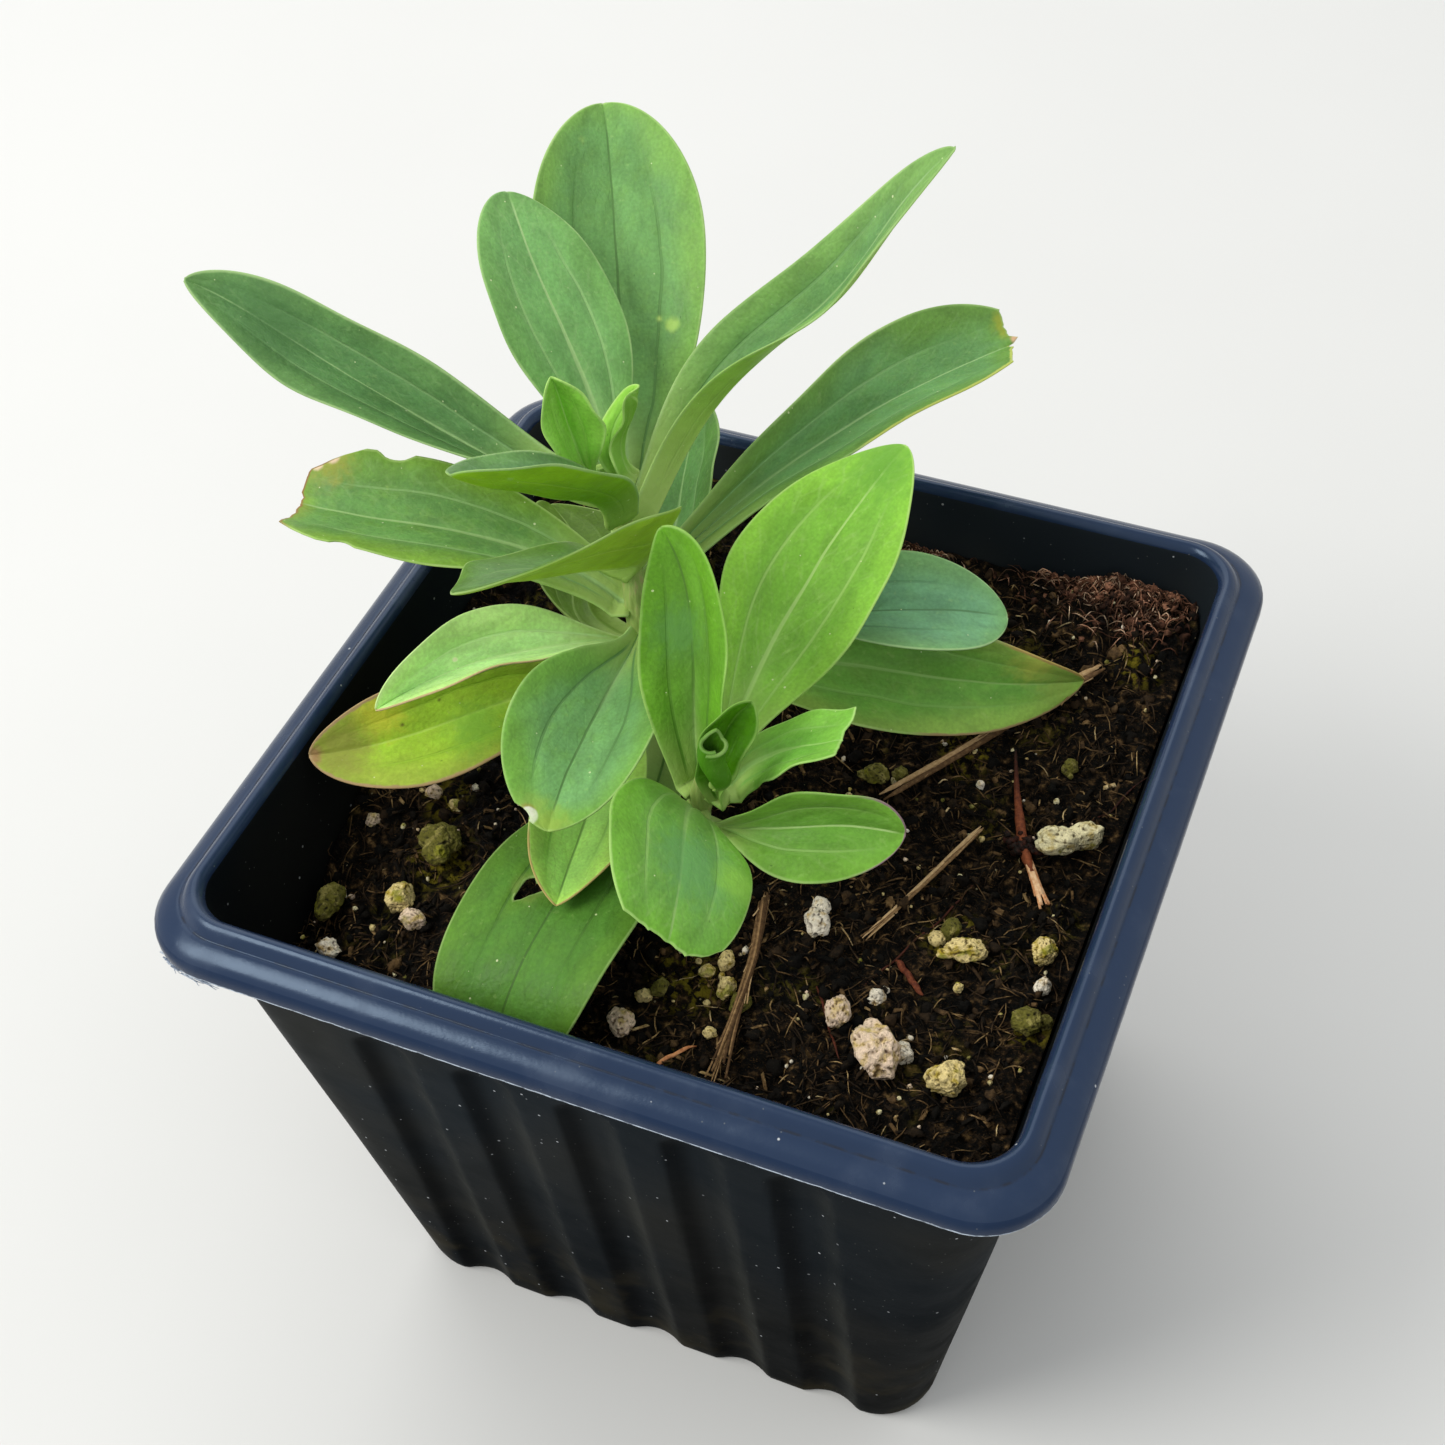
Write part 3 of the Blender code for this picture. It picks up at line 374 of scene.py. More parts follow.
# Marks on the blades, placed by share of the length and by station (-1 and +1 at the margins), with
# their radius and the softness of their outline
Spot = namedtuple("Spot", "share station radius soft colour")
SPOTS = {
    "leaf_back_tall": (
        Spot(0.46, -0.66, 0.75, 0.5, (170, 206, 102)), Spot(0.475, -0.5, 0.3, 0.35, (184, 214, 112)),
        Spot(0.9, 0.5, 0.1, 0.7, (176, 204, 104)),
    ),
    "leaf_long_left": (Spot(0.8, 0.0, 5.0, 4.0, (86, 126, 76)),),
    "leaf_bitten_left": (
        Spot(0.86, -0.78, 2.4, 2.2, (158, 158, 66)), Spot(0.86, -0.9, 1.2, 0.3, (240, 208, 182)),
        Spot(0.905, -0.74, 1.0, 0.3, (240, 208, 182)), Spot(0.92, 0.2, 1.9, 1.4, (128, 148, 60)),
    ),
    "leaf_front_left": (Spot(0.667, -0.27, 0.32, 0.15, (236, 232, 196)),),
    "leaf_yellowing": (
        Spot(0.77, -0.6, 2.6, 2.2, (208, 208, 64)), Spot(0.9, -0.1, 3.4, 2.2, (146, 150, 66)),
        Spot(0.71, -0.25, 0.24, 0.2, (96, 84, 36)), Spot(0.585, -0.44, 0.2, 0.2, (100, 96, 40)),
        Spot(0.5, 0.3, 3.2, 2.6, (128, 178, 62)), Spot(1.0, -0.3, 1.5, 0.6, (158, 120, 84)),
    ),
    "leaf_front_broad": (
        Spot(0.95, -0.66, 2.2, 1.4, (142, 180, 84)), Spot(0.955, -0.8, 1.0, 0.4, (164, 150, 78)),
        Spot(0.965, -0.84, 1.05, 0.15, (250, 248, 238)), Spot(1.0, 0.1, 2.4, 1.6, (146, 176, 74)),
    ),
    "leaf_bottom": (Spot(0.65, -0.37, 2.0, 0.6, (112, 140, 62)),),
    "leaf_right_nibbled": (
        Spot(0.994, 0.15, 1.0, 0.3, (232, 182, 152)), Spot(0.985, 0.65, 1.6, 1.0, (160, 168, 62)),
    ),
    "leaf_right_low": (
        Spot(0.85, 0.7, 2.2, 2.2, (196, 206, 94)), Spot(0.93, 0.1, 2.0, 2.0, (150, 180, 82)),
    ),
    # Painted shade: a darker green patch near the tip, where the blade lies in shade
    "side_leaf_light": (Spot(0.93, 0.1, 4.0, 4.0, (104, 160, 56)),),
    "side_leaf_front": (
        Spot(0.62, 0.2, 4.6, 3.0, (102, 158, 88)), Spot(0.6, 0.75, 2.4, 1.6, (134, 188, 70)),
    ),
    "side_leaf_upright": (Spot(0.62, 0.25, 2.6, 2.2, (96, 148, 70)),),
}
# Coloured strips along a margin: side (0 for both), start and end as shares of the length, width
Strip = namedtuple("Strip", "side start end width colour")
STRIPS = {
    "leaf_bitten_left": (
        Strip(-1, 0.8, 1.1, 0.45, (140, 108, 62)), Strip(1, 0.84, 1.1, 0.5, (142, 96, 54)),
    ),
    "leaf_right_nibbled": (Strip(-1, 0.45, 1.1, 0.55, (178, 190, 92)),),
    "leaf_front_left": (Strip(1, 0.35, 1.0, 0.28, (188, 164, 120)),),
    "leaf_yellowing": (Strip(0, 0.3, 1.1, 0.45, (166, 140, 98)),),
    "leaf_right_low": (
        Strip(-1, 0.55, 1.1, 0.35, (156, 134, 92)), Strip(1, 0.72, 1.1, 0.4, (184, 160, 92)),
    ),
    "leaf_front_under": (Strip(0, 0.7, 1.1, 0.22, (178, 160, 96)),),
    "side_leaf_right": (Strip(0, 0.72, 1.1, 0.22, (146, 120, 124)),),
}

# Grains: their size, turn, and lobes as (x, y, z, radius) in sizes
Grain = namedtuple("Grain", "name size turn look lobes")
ONE_LOBE = ((0, 0, 0, 0.5),)
GRAINS = (
    Grain("grain_cream_large", (5.2, 6.6, 4.6), 20, "cream", ((0, -0.06, 0, 0.46), (0.02, 0.3, 0, 0.22))),
    Grain("grain_yellow_front", (4.8, 4.8, 3.6), 70, "yellow", ((-0.08, 0, 0, 0.4), (0.3, 0.05, 0, 0.24))),
    Grain("grain_yellow_centre", (5.4, 3.8, 3.4), 25, "yellow", ((0.05, 0, 0, 0.44), (-0.36, -0.14, 0, 0.2))),
    Grain("grain_cream_two_lobed", (7.0, 4.8, 4.4), 35, "pale", ((-0.2, 0, 0, 0.38), (0.26, 0.04, 0, 0.32))),
    Grain("grain_cream_right", (2.8, 3.4, 2.8), 0, "yellow", ONE_LOBE),
    Grain("grain_mossy_right", (3.4, 3.2, 2.6), 10, "moss", ONE_LOBE),
    Grain("grain_white_tall", (3.0, 5.6, 2.8), 10, "white", ((0, -0.2, 0, 0.36), (0.06, 0.24, 0, 0.27))),
    Grain("grain_white_front", (2.8, 4.0, 2.6), 20, "cream", ONE_LOBE),
    Grain("grain_mossy_back", (4.0, 2.8, 2.4), 20, "moss", ONE_LOBE),
    Grain("grain_cream_edge", (3.4, 3.4, 2.6), 0, "cream", ONE_LOBE),
    Grain("grain_mossy_left", (3.8, 5.4, 3.6), -10, "moss", ((0, 0.1, 0, 0.4), (0.1, -0.24, 0, 0.28))),
    Grain("grain_white_left", (3.0, 2.8, 2.6), 0, "white", ONE_LOBE),
    Grain("grain_yellow_left", (3.2, 4.0, 3.0), 0, "yellow", ONE_LOBE),
    Grain("grain_mossy_lump", (5.0, 5.4, 4.0), 30, "moss", ((0, 0.1, 0, 0.42), (-0.1, -0.22, 0, 0.3))),
)
GRAIN_FLAT = -0.36
# Base colour, stain and pit colour of each kind of grain, and how green it is
GRAIN_LOOKS = {
    "cream": ((240, 214, 186), (212, 184, 118), (92, 66, 40), 0.35),
    "white": ((248, 238, 216), (206, 174, 108), (60, 46, 32), 0.2),
    "pale": ((236, 226, 180), (190, 168, 100), (82, 66, 40), 0.75),
    "yellow": ((234, 212, 146), (178, 154, 48), (70, 54, 22), 0.75),
    "moss": ((104, 100, 38), (162, 152, 84), (34, 32, 14), 0.75),
}
GRAIN_SOIL = (44, 34, 22)
GRAIN_ALGAE = (142, 142, 34)
GRAIN_SIDES = 18
LUMP_SIDES = 9
# Loose small grains on the peat: place and size
BITS = {
    "cream": (
        (-28.8, -31.4, 2.8), (-41, -18.9, 1.9), (-34.7, -14.2, 1.7),
    ),
    "white": (
        (30.9, -30.1, 2.4), (25.8, -24, 2.2), (42.5, -16.3, 2.5), (-40.6, -28.8, 1.8), (-30.6, -11.4, 1.3),
        (27.2, 9.2, 1.1), (26.3, -22.7, 1.0), (25.2, -24.6, 0.8), (30.7, -28.9, 1.2),
    ),
    "yellow": (
        (8.3, -25.4, 2.3), (9.5, -28.4, 2.5), (6.7, -27.3, 1.6), (10.2, -35, 1.5), (1.4, -32.9, 1.8),
        (-31.8, -14.6, 1.5), (33.8, -19.6, 1.4), (29.2, -13.4, 1.8),
    ),
    "moss": (
        (30.5, -11.9, 2.7), (11.7, -29.7, 2.4), (2.8, -31.6, 2.2), (36.4, 16, 1.8), (17.7, 7.4, 1.9),
        (44, -20.3, 1.8), (22.5, 16.1, 1.5),
    ),
}
SPECK_COUNT = {"cream": 55, "white": 55, "pale": 55, "yellow": 55, "moss": 27}

# Litter
Litter = namedtuple("Litter", "name radius lift points")
LITTER = (
    Litter("straw_long", 0.45, 0.3, ((36.2, 30.6), (26.7, 17.0), (16.9, 2.8))),
    Litter("straw_front", 0.35, 0.35, ((29.4, 3.1), (25.6, -7.2), (21.9, -17.4))),
    Litter("twig_orange", 0.7, 0, ((29.6, 15.6), (31.6, 9.6), (34.8, 1.6), (40.0, -6.4))),
    Litter("dead_stalk", 0.6, 0.1, ((9, -15), (11.2, -24), (12.2, -33), (13, -41))),
)
STRAW_TONES = ((0.0, (40, 28, 18)), (0.3, (92, 68, 44)), (0.6, (156, 124, 84)), (1.0, (216, 186, 140)))
TWIG_TONES = (
    (0.0, (24, 18, 15)), (0.35, (88, 44, 30)), (0.6, (146, 80, 48)), (0.8, (206, 144, 96)),
    (1.0, (238, 200, 156)),
)
TWIG_RADIUS = 0.72
TWIG_SIDES = 14
KNOT_LUMPS = 40
KNOT_FIBRES = 16
# Thin roots and a chip of bark that lie on the peat: radius, tone and places
ROOTS = (
    (0.13, 0.2, ((23.5, -23.5), (28.4, -11.7), (30.9, -5.2))),
    (0.28, 0.75, ((4.4, -41.9), (9.2, -36.5))),
    (0.16, 0.3, ((18.6, -24), (24.6, -32.9))),
    (0.14, 0.1, ((37, 2.7), (41.2, 8.2), (45.6, 17.8))),
    (0.42, 0.4, ((26, -18), (28.4, -20.2), (30.4, -21.9))),
)


def srgb(red, green, blue):
    """A colour as it looks on screen, as the values that a shader takes."""
    levels = [value / 255 for value in (red, green, blue)]
    return (*[(level + 0.055) ** 2.4 / 1.055**2.4 if level > 0.04045 else level / 12.92 for level in levels], 1)


def feed(socket, value):
    if isinstance(value, Output):
        socket.id_data.links.new(value.socket, socket)
    elif socket.type == "RGBA" and len(value) == 3:
        socket.default_value = srgb(*value)
    else:
        socket.default_value = value


def new_node(tree, kind, inputs=(), output=0, **settings):
    """An output of a new node of a material. Its inputs are given by number or by name."""
    node = tree.nodes.new("ShaderNode" + kind)
    for name, value in settings.items():
        setattr(node, name, value)
    for key, value in dict(inputs).items():
        feed(node.inputs[key], value)
    return Output(node.outputs[output])


class Output:
    """An output of a material's node. What is done with it makes further nodes."""

    def __init__(self, socket):
        self.socket = socket
        self.tree = socket.id_data

    def also(self, output):
        """Another output of the same node."""
        return Output(self.socket.node.outputs[output])

    def math(self, operation, second=0.0):
        return new_node(self.tree, "Math", {0: self, 1: second}, operation=operation)

    def __add__(self, other):
        return self.math("ADD", other)

    def __sub__(self, other):
        return self.math("SUBTRACT", other)

    def __mul__(self, other):
        return self.math("MULTIPLY", other)

    def __abs__(self):
        return self.math("ABSOLUTE")

    def vector(self, operation, inputs, output=0):
        return new_node(self.tree, "VectorMath", {0: self, **inputs}, output, operation=operation)

    def stretch(self, *factors):
        return self.vector("MULTIPLY", {1: factors})

    def distance(self, *place):
        return self.vector("DISTANCE", {1: place}, "Value")

    def split(self):
        first = new_node(self.tree, "SeparateXYZ", {0: self})
        return first, first.also(1), first.also(2)

    def span(self, low, high, first=0.0, last=1.0):
        """A smooth change from first to last as the value goes from low to high."""
        inputs = enumerate((self, low, high, first, last))
        return new_node(self.tree, "MapRange", inputs, interpolation_type="SMOOTHSTEP")

    def blend(self, first, second):
        """The first colour where this value is 0, and the second where it is 1."""
        return new_node(self.tree, "Mix", {0: self, 6: first, 7: second}, 2, data_type="RGBA")

    def mix(self, share, colour):
        """This colour, with another over it as far as the share says."""
        return share.blend(self, colour)

    def tint(self, colour):
        """The colour made lighter or darker by this factor."""
        grey = new_node(self.tree, "CombineColor", {0: self, 1: self, 2: self})
        inputs = {0: 1, 6: colour, 7: grey}
        return new_node(self.tree, "Mix", inputs, 2, data_type="RGBA", blend_type="MULTIPLY")

    def shade(self, factor):
        return factor.tint(self)

    def noise(self, scale, detail=3.0, distortion=0.0):
        inputs = {"Vector": self, "Scale": scale, "Detail": detail, "Distortion": distortion}
        return new_node(self.tree, "TexNoise", inputs)

    def cells(self, scale, feature="F1"):
        return new_node(self.tree, "TexVoronoi", {"Vector": self, "Scale": scale}, "Distance", feature=feature)

    def specks(self, scale, radius, share):
        """Round dots, one in a share of the cells, at most radius cells wide."""
        cells = self.cells(scale)
        pick = cells.also("Color").split()[0]
        return cells.span(radius, radius * 0.6) * pick.span(1 - share, 1 - share * 0.98)

    def ramp(self, stops):
        made = new_node(self.tree, "ValToRGB", {0: self})
        elements = made.socket.node.color_ramp.elements
        while len(elements) < len(stops):
            elements.new(1.0)
        for element, (position, colour) in zip(elements, stops):
            element.position = position
            element.color = srgb(*colour)
        return made


class Shader:
    """A material with one surface, fed by outputs."""

    def __init__(self, name):
        self.material = bpy.data.materials.new(name)
        self.material.use_nodes = True
        self.tree = self.material.node_tree

    def value(self, name):
        """A value stored with the mesh's points."""
        return new_node(self.tree, "Attribute", output="Fac", attribute_name=name)

    def place(self):
        """The place in millimetres."""
        coordinates = new_node(self.tree, "TexCoord", output="Object")
        return coordinates.vector("SCALE", {"Scale": 1 / MM})

    def join(self, *parts):
        return new_node(self.tree, "CombineXYZ", enumerate(parts))

    def finish(self, colour, roughness, height=None, **constants):
        """Feeds the surface. The height is in millimetres. Constants go on the shader's own sockets."""
        sockets = self.tree.nodes["Principled BSDF"].inputs
        feed(sockets["Base Color"], colour)
        feed(sockets["Roughness"], roughness)
        for name, value in constants.items():
            sockets[name.replace("_", " ")].default_value = value
        if height is not None:
            bump = new_node(self.tree, "Bump", {"Strength": 1, "Distance": MM, "Height": height})
            feed(sockets["Normal"], bump)
        return self.material


def add_object(name, data):
    thing = bpy.data.objects.new(name, data)
    bpy.context.scene.collection.objects.link(thing)
    return thing


def new_mesh(name, points, faces, *materials):
    """A mesh from points in metres."""
    mesh = bpy.data.meshes.new(name)
    mesh.from_pydata(np.asarray(points, float).tolist(), [], faces)
    for material in materials:
        mesh.materials.append(material)
    return mesh


def piece(name, points, faces, material, slot, replaced=(), **values):
    """A mesh that rides on the pot's body, with values for its material stored at its points."""
    mesh = new_mesh(name, points, faces, material)
    for key, value in values.items():
        attribute = mesh.attributes.new(key, "FLOAT", "POINT")
        attribute.data.foreach_set("value", np.asarray(value, np.float32).ravel())
    mesh.shade_smooth()
    thing = add_object(name, mesh)
    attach(thing, "root")
    if replaced:
        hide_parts(*replaced)
    return thing


class Heap:
    """Many small bodies gathered into one mesh, with values for its material."""

    def __init__(self):
        self.points = []
        self.faces = []
        self.values = {}
        self.count = 0

    def add(self, points, faces, **values):
        self.points.append(points)
        self.faces += [tuple(self.count + index for index in face) for face in faces]
        self.count += len(points)
        for key, value in values.items():
            self.values.setdefault(key, []).append(np.broadcast_to(value, len(points)))

    def tube(self, route, radii, sides, tone, flat=1.0):
        self.add(*tube(route, radii, sides, flat), tone=tone)

    def piece(self, name, material, slot, replaced=()):
        values = {key: np.concatenate(parts) for key, parts in self.values.items()}
        return piece(name, np.concatenate(self.points), self.faces, material, slot, replaced, **values)


def wander(x, y, z):
    """Smooth noise from about -1 to 1."""
    return noise.noise(Vector((float(x), float(y), float(z))))


def unit(vectors):
    return vectors / np.maximum(np.linalg.norm(vectors, axis=-1, keepdims=True), TINY)


def spin(angle, axis="Z"):
    """A rotation as an array."""
    return np.array(Matrix.Rotation(angle, 3, axis))


def smoothed(line, rounds):
    """The line with its inner points drawn towards their neighbours, a few times over."""
    line = line.copy()
    for _ in range(rounds):
        line[1:-1] = (line[:-2] + 2 * line[1:-1] + line[2:]) / 4
    return line


def through(places, count):
    """Points at equal steps along the straight stretches between a few places."""
    marks = np.linspace(0, len(places) - 1, count)
    return np.array([np.interp(marks, range(len(places)), axis) for axis in zip(*places)]).T


def each(function, *grids):
    """What a function makes of each place of its grids."""
    return np.array([[function(*values) for values in zip(*rows)] for rows in zip(*grids)])


def lofted(rings):
    """Points and faces of rings joined in order, closed by a flat face at each end."""
    count = len(rings[0])
    faces = []
    for low in range(0, (len(rings) - 1) * count, count):
        for index in range(count):
            after = (index + 1) % count
            faces.append((low + index, low + after, low + count + after, low + count + index))
    faces.append(tuple(reversed(range(count))))
    faces.append(tuple(range((len(rings) - 1) * count, len(rings) * count)))
    return np.concatenate(rings), faces


def tube(route, radii, sides, flat=1.0):
    """Points in metres and faces of a tube along a route, flat below 1 for a section wider than tall."""
    route = np.asarray(route, float) * MM
    radii = np.asarray(radii, float)[:, None, None] * MM
    along = unit(np.gradient(route, axis=0))
    side = unit(np.cross(along, (0.05, 0.02, 1.0)))
    up = np.cross(side, along)
    angles = np.arange(sides) * 2 * np.pi / sides
    offset = np.cos(angles)[None, :, None] * side[:, None] - flat * np.sin(angles)[None, :, None] * up[:, None]
    return lofted(list(route[:, None] + radii * offset))


def sphere(subdivisions):
    work = bmesh.new()
    bmesh.ops.create_icosphere(work, subdivisions=subdivisions, radius=0.5)
    points = np.array([vertex.co[:] for vertex in work.verts])
    faces = [tuple(vertex.index for vertex in face.verts) for face in work.faces]
    work.free()
    return points, faces


# Scene


def add_camera():
    heading, drop, roll = (radians(angle) for angle in (CAMERA_HEADING, CAMERA_DROP, CAMERA_ROLL))
    ahead = Vector((sin(heading) * cos(drop), cos(heading) * cos(drop), -sin(drop)))
    level = ahead.cross(Vector((0, 0, 1))).normalized()
    right = cos(roll) * level + sin(roll) * level.cross(ahead)
    data = bpy.data.cameras.new("photo_camera")
    data.sensor_width = SENSOR
    data.lens = SENSOR * LENS_PIXELS / PHOTO_PIXELS
    data.clip_start = CAMERA_NEAREST
    camera = add_object("photo_camera", data)
    turn = Matrix((right, right.cross(ahead), -ahead)).transposed().to_4x4()
    camera.matrix_world = Matrix.Translation(CAMERA_PLACE) @ turn
    bpy.context.scene.camera = camera


def add_lamp(lamp):
    data = bpy.data.lights.new(lamp.name, "AREA")
    data.shape = "DISK"
    data.size = lamp.size
    data.energy = lamp.power
    data.color = lamp.colour
    light = add_object(lamp.name, data)
    light.location = lamp.place
    light.rotation_euler = (-Vector(lamp.place)).to_track_quat("-Z", "Y").to_euler()


def add_studio():
    for lamp in LAMPS:
        add_lamp(lamp)
    world = bpy.data.worlds.new("pale_studio")
    bpy.context.scene.world = world
    world.use_nodes = True
    background = world.node_tree.nodes["Background"]
    background.inputs["Color"].default_value = (*SKY, 1)
    background.inputs["Strength"].default_value = SKY_STRENGTH
    bpy.context.scene.view_settings.view_transform = "Standard"
    shader = Shader("floor_paper")
    tone = shader.place().noise(0.01).span(0.3, 0.7, 0.985, 1.0)
    material = shader.finish(tone.tint(FLOOR_COLOUR), 0.9)
    corners = [(x * FLOOR_HALF, y * FLOOR_HALF, 0) for x, y in ((-1, -1), (1, -1), (1, 1), (-1, 1))]
    add_object("floor", new_mesh("floor", corners, [(0, 1, 2, 3)], material))


# Pot


def square_ring(half, corner, height):
    """Points round a square with round corners, anticlockwise seen from above."""
    quarter = []
    for angle in [step / CORNER_STEPS * pi / 2 for step in range(CORNER_STEPS + 1)]:
        quarter.append((half - corner + corner * cos(angle), half - corner + corner * sin(angle)))
    for step in range(1, SIDE_STEPS):
        quarter.append(((half - corner) * (1 - 2 * step / SIDE_STEPS), half))
    x, y = np.array(quarter).T
    points = []
    for turn in range(4):
        across, deep = np.cos(turn * np.pi / 2), np.sin(turn * np.pi / 2)
        points.append(np.stack([x * across - y * deep, x * deep + y * across], axis=1))
    ring = np.concatenate(points)
    return np.column_stack([ring, np.full(len(ring), float(height))])


def wall_ring(height):
    share = height / WALL_TOP_HEIGHT
    half = FOOT_HALF + (WALL_TOP_HALF - FOOT_HALF) * height / WALL_TOP_HEIGHT
    corner = WALL_CORNERS[0] + (WALL_CORNERS[1] - WALL_CORNERS[0]) * share
    return square_ring(half, corner, height)


def inner_half(height):
    return INNER_FOOT_HALF + (MOUTH_HALF - INNER_FOOT_HALF) * (height - FLOOR_TOP) / (MOUTH_HEIGHT - FLOOR_TOP)


def inner_corner(height):
    return INNER_FOOT_CORNER + (MOUTH_CORNER - INNER_FOOT_CORNER) * height / MOUTH_HEIGHT


def flute_depth(ring):
    """How deep the flutes press the wall in at each point of a ring."""
    place = np.where(np.abs(ring[:, 0]) > np.abs(ring[:, 1]), ring[:, 1], ring[:, 0])
    up = np.maximum(0, (ring[:, 2] - FLUTE_TOP + FLUTE_HALF_WIDTH) / FLUTE_HALF_WIDTH)
    depth = np.zeros(len(ring))
    for flute in range(FLUTE_COUNT):
        u = (place - (flute - (FLUTE_COUNT - 1) / 2) * FLUTE_PITCH) / FLUTE_HALF_WIDTH
        core = np.clip((1 - u * u - up * up) / FLUTE_SOFTNESS, -30, 30)
        depth = np.maximum(depth, FLUTE_DEPTH * FLUTE_SOFTNESS * np.log1p(np.exp(core)))
    return depth


def flute_slope(ring):
    """How steeply the wall turns into a flute at each point of a ring, positive on one side of the flute."""
    step = np.array((0.5, 0.5, 0))
    return (flute_depth(ring + step) - flute_depth(ring - step)) / FLUTE_DEPTH


def pressed(ring):
    """The ring with its flutes, and with the slight unevenness of a thin moulded wall."""
    depth = flute_depth(ring)
    sideways = np.abs(ring[:, 0]) > np.abs(ring[:, 1])
    made = ring.copy()
    made[:, 0] -= np.where(sideways, np.sign(ring[:, 0]) * depth, 0)
    made[:, 1] -= np.where(sideways, 0, np.sign(ring[:, 1]) * depth)
    for point in made:
        swell = WALL_SWELL * wander(point[0] * 0.06, point[1] * 0.06, point[2] * 0.04)
        point[:2] *= 1 + swell / WALL_MIDDLE
    return made


def trimmed(ring):
    """The ring with the ragged line that trimming leaves on the skirt's edge."""
    made = ring.copy()
    for point in made:
        rough = wander(point[0] * 0.9, point[1] * 0.9, 3.1) + 0.6 * wander(point[0] * 2.3, point[1] * 2.3, 7.7)
        point[2] += TRIM_ROUGHNESS * rough
        point[:2] *= 1 - TRIM_ROUGHNESS * abs(rough) / TRIM_HALF
    return made


def cut_drains(pot):
    """Takes the drain holes out of the pot's floor for good."""
    angles = np.arange(DRAIN_SIDES) * 2 * np.pi / DRAIN_SIDES
    circle = DRAIN_RADIUS * np.column_stack([np.cos(angles), np.sin(angles)])
    heights = (-DRAIN_REACH, FLOOR_TOP + DRAIN_REACH)
    heap = Heap()
    for x in (-DRAIN_PLACE, DRAIN_PLACE):
        for y in (-DRAIN_PLACE, DRAIN_PLACE):
            rings = [np.column_stack([circle + (x, y), np.full(DRAIN_SIDES, height)]) for height in heights]
            heap.add(*lofted(rings))
    cutter = add_object("drain_cutter", new_mesh("drain_cutter", np.concatenate(heap.points) * MM, heap.faces))
    boolean = pot.modifiers.new("cut", "BOOLEAN")
    boolean.object = cutter
    boolean.solver = "EXACT"
    bpy.context.view_layer.update()
    cut = bpy.data.meshes.new_from_object(pot.evaluated_get(bpy.context.evaluated_depsgraph_get()))
    pot.modifiers.clear()
    pot.data = cut
    bpy.data.objects.remove(cutter)


def pot_marks(place, colour, share):
    """The colour with specks of grit and lime on a share of the plastic, and the place of the largest ones."""
    grit = place.specks(0.36, 0.07, share) * place.noise(0.4, 2).span(0.35, 0.6, 0.3, 1)
    fine = place.specks(0.85, 0.09, 0.7 * share)
    scratch = place.stretch(0.9, 0.9, 0.16).specks(1.1, 0.05, 0.15 * share)
    colour = colour.mix(fine * 0.4, DUST).mix(scratch * 0.3, SCRATCH)
    return colour.mix(grit * 0.85, GRIT), grit


def wall_material():
    shader = Shader("pot_wall_plastic")
    place = shader.place()
    sideways, backward, height = place.split()
    broad = place.noise(0.035, 2)
    slope = shader.value("slope")
    colour = broad.span(0.4, 0.7).blend(*WALL_COLOURS)
    # Painted shade: the wall is made darker towards its foot and towards its right side, and lighter on its left
    colour = colour.shade(height.span(0, 78, 0.4, 1.08)).shade(sideways.span(-42, 42, 1.22, 0.8))
    # Painted shade inside the pot: the inner walls are darker towards the front and lighter towards the back
    colour = colour.shade(shader.value("inside").span(0, 1, 1.0, backward.span(-20, 46, 0.38, 1.4)))
    # Painted shade on the side of each flute that faces away from the light
    colour = colour.shade(slope.span(0.0, 0.4, 1.0, 0.42))
    # A painted brown sheen in patches low on the wall, standing in for a reflection
    low = height.span(34, 0) * place.noise(0.11, 4).span(0.46, 0.66)
    # Painted light on the other side of each flute, which faces the light
    lit = slope.span(-0.05, -0.45) * broad.span(0.3, 0.7, 0.1, 0.4)
    colour = colour.mix(low * 0.25, WALL_BROWN_SHEEN).mix(lit, WALL_LIT)
    colour, grit = pot_marks(place, colour, 0.8)
    roughness = place.noise(0.16, 5).span(0.4, 0.8, 0.38, 0.55)
    bumps = place.noise(2.2, 2) * 0.012 + place.noise(0.18, 2) * 0.1 + grit * 0.06
    return shader.finish(colour, roughness, bumps, Specular_IOR_Level=0.004)


def rim_material(name, base, gloss):
    shader = Shader(name)
    place = shader.place()
    film = place.noise(0.16, 5).span(0.48, 0.8)
    dirt = shader.value("crease") * place.noise(0.5, 4).span(0.4, 0.62).span(0, 1, 0.1, 0.8)
    worn = shader.value("skirt").span(0.5, 0.9) * place.noise(1.3, 5).span(0.34, 0.54, 0.25, 1)
    colour = (film * 0.08).blend(base, RIM_FILM).mix(dirt, RIM_DIRT).mix(worn, RIM_WORN)
    colour, grit = pot_marks(place, colour, 0.3)
    roughness = film * 0.12 + worn * 0.3 + 0.22
    bumps = place.noise(2.2, 2) * 0.01 + place.noise(0.2, 2) * 0.05 + (worn * 0.1 + grit * 0.06)
    return shader.finish(colour, roughness, bumps, Specular_IOR_Level=gloss, Specular_Tint=RIM_TINT)


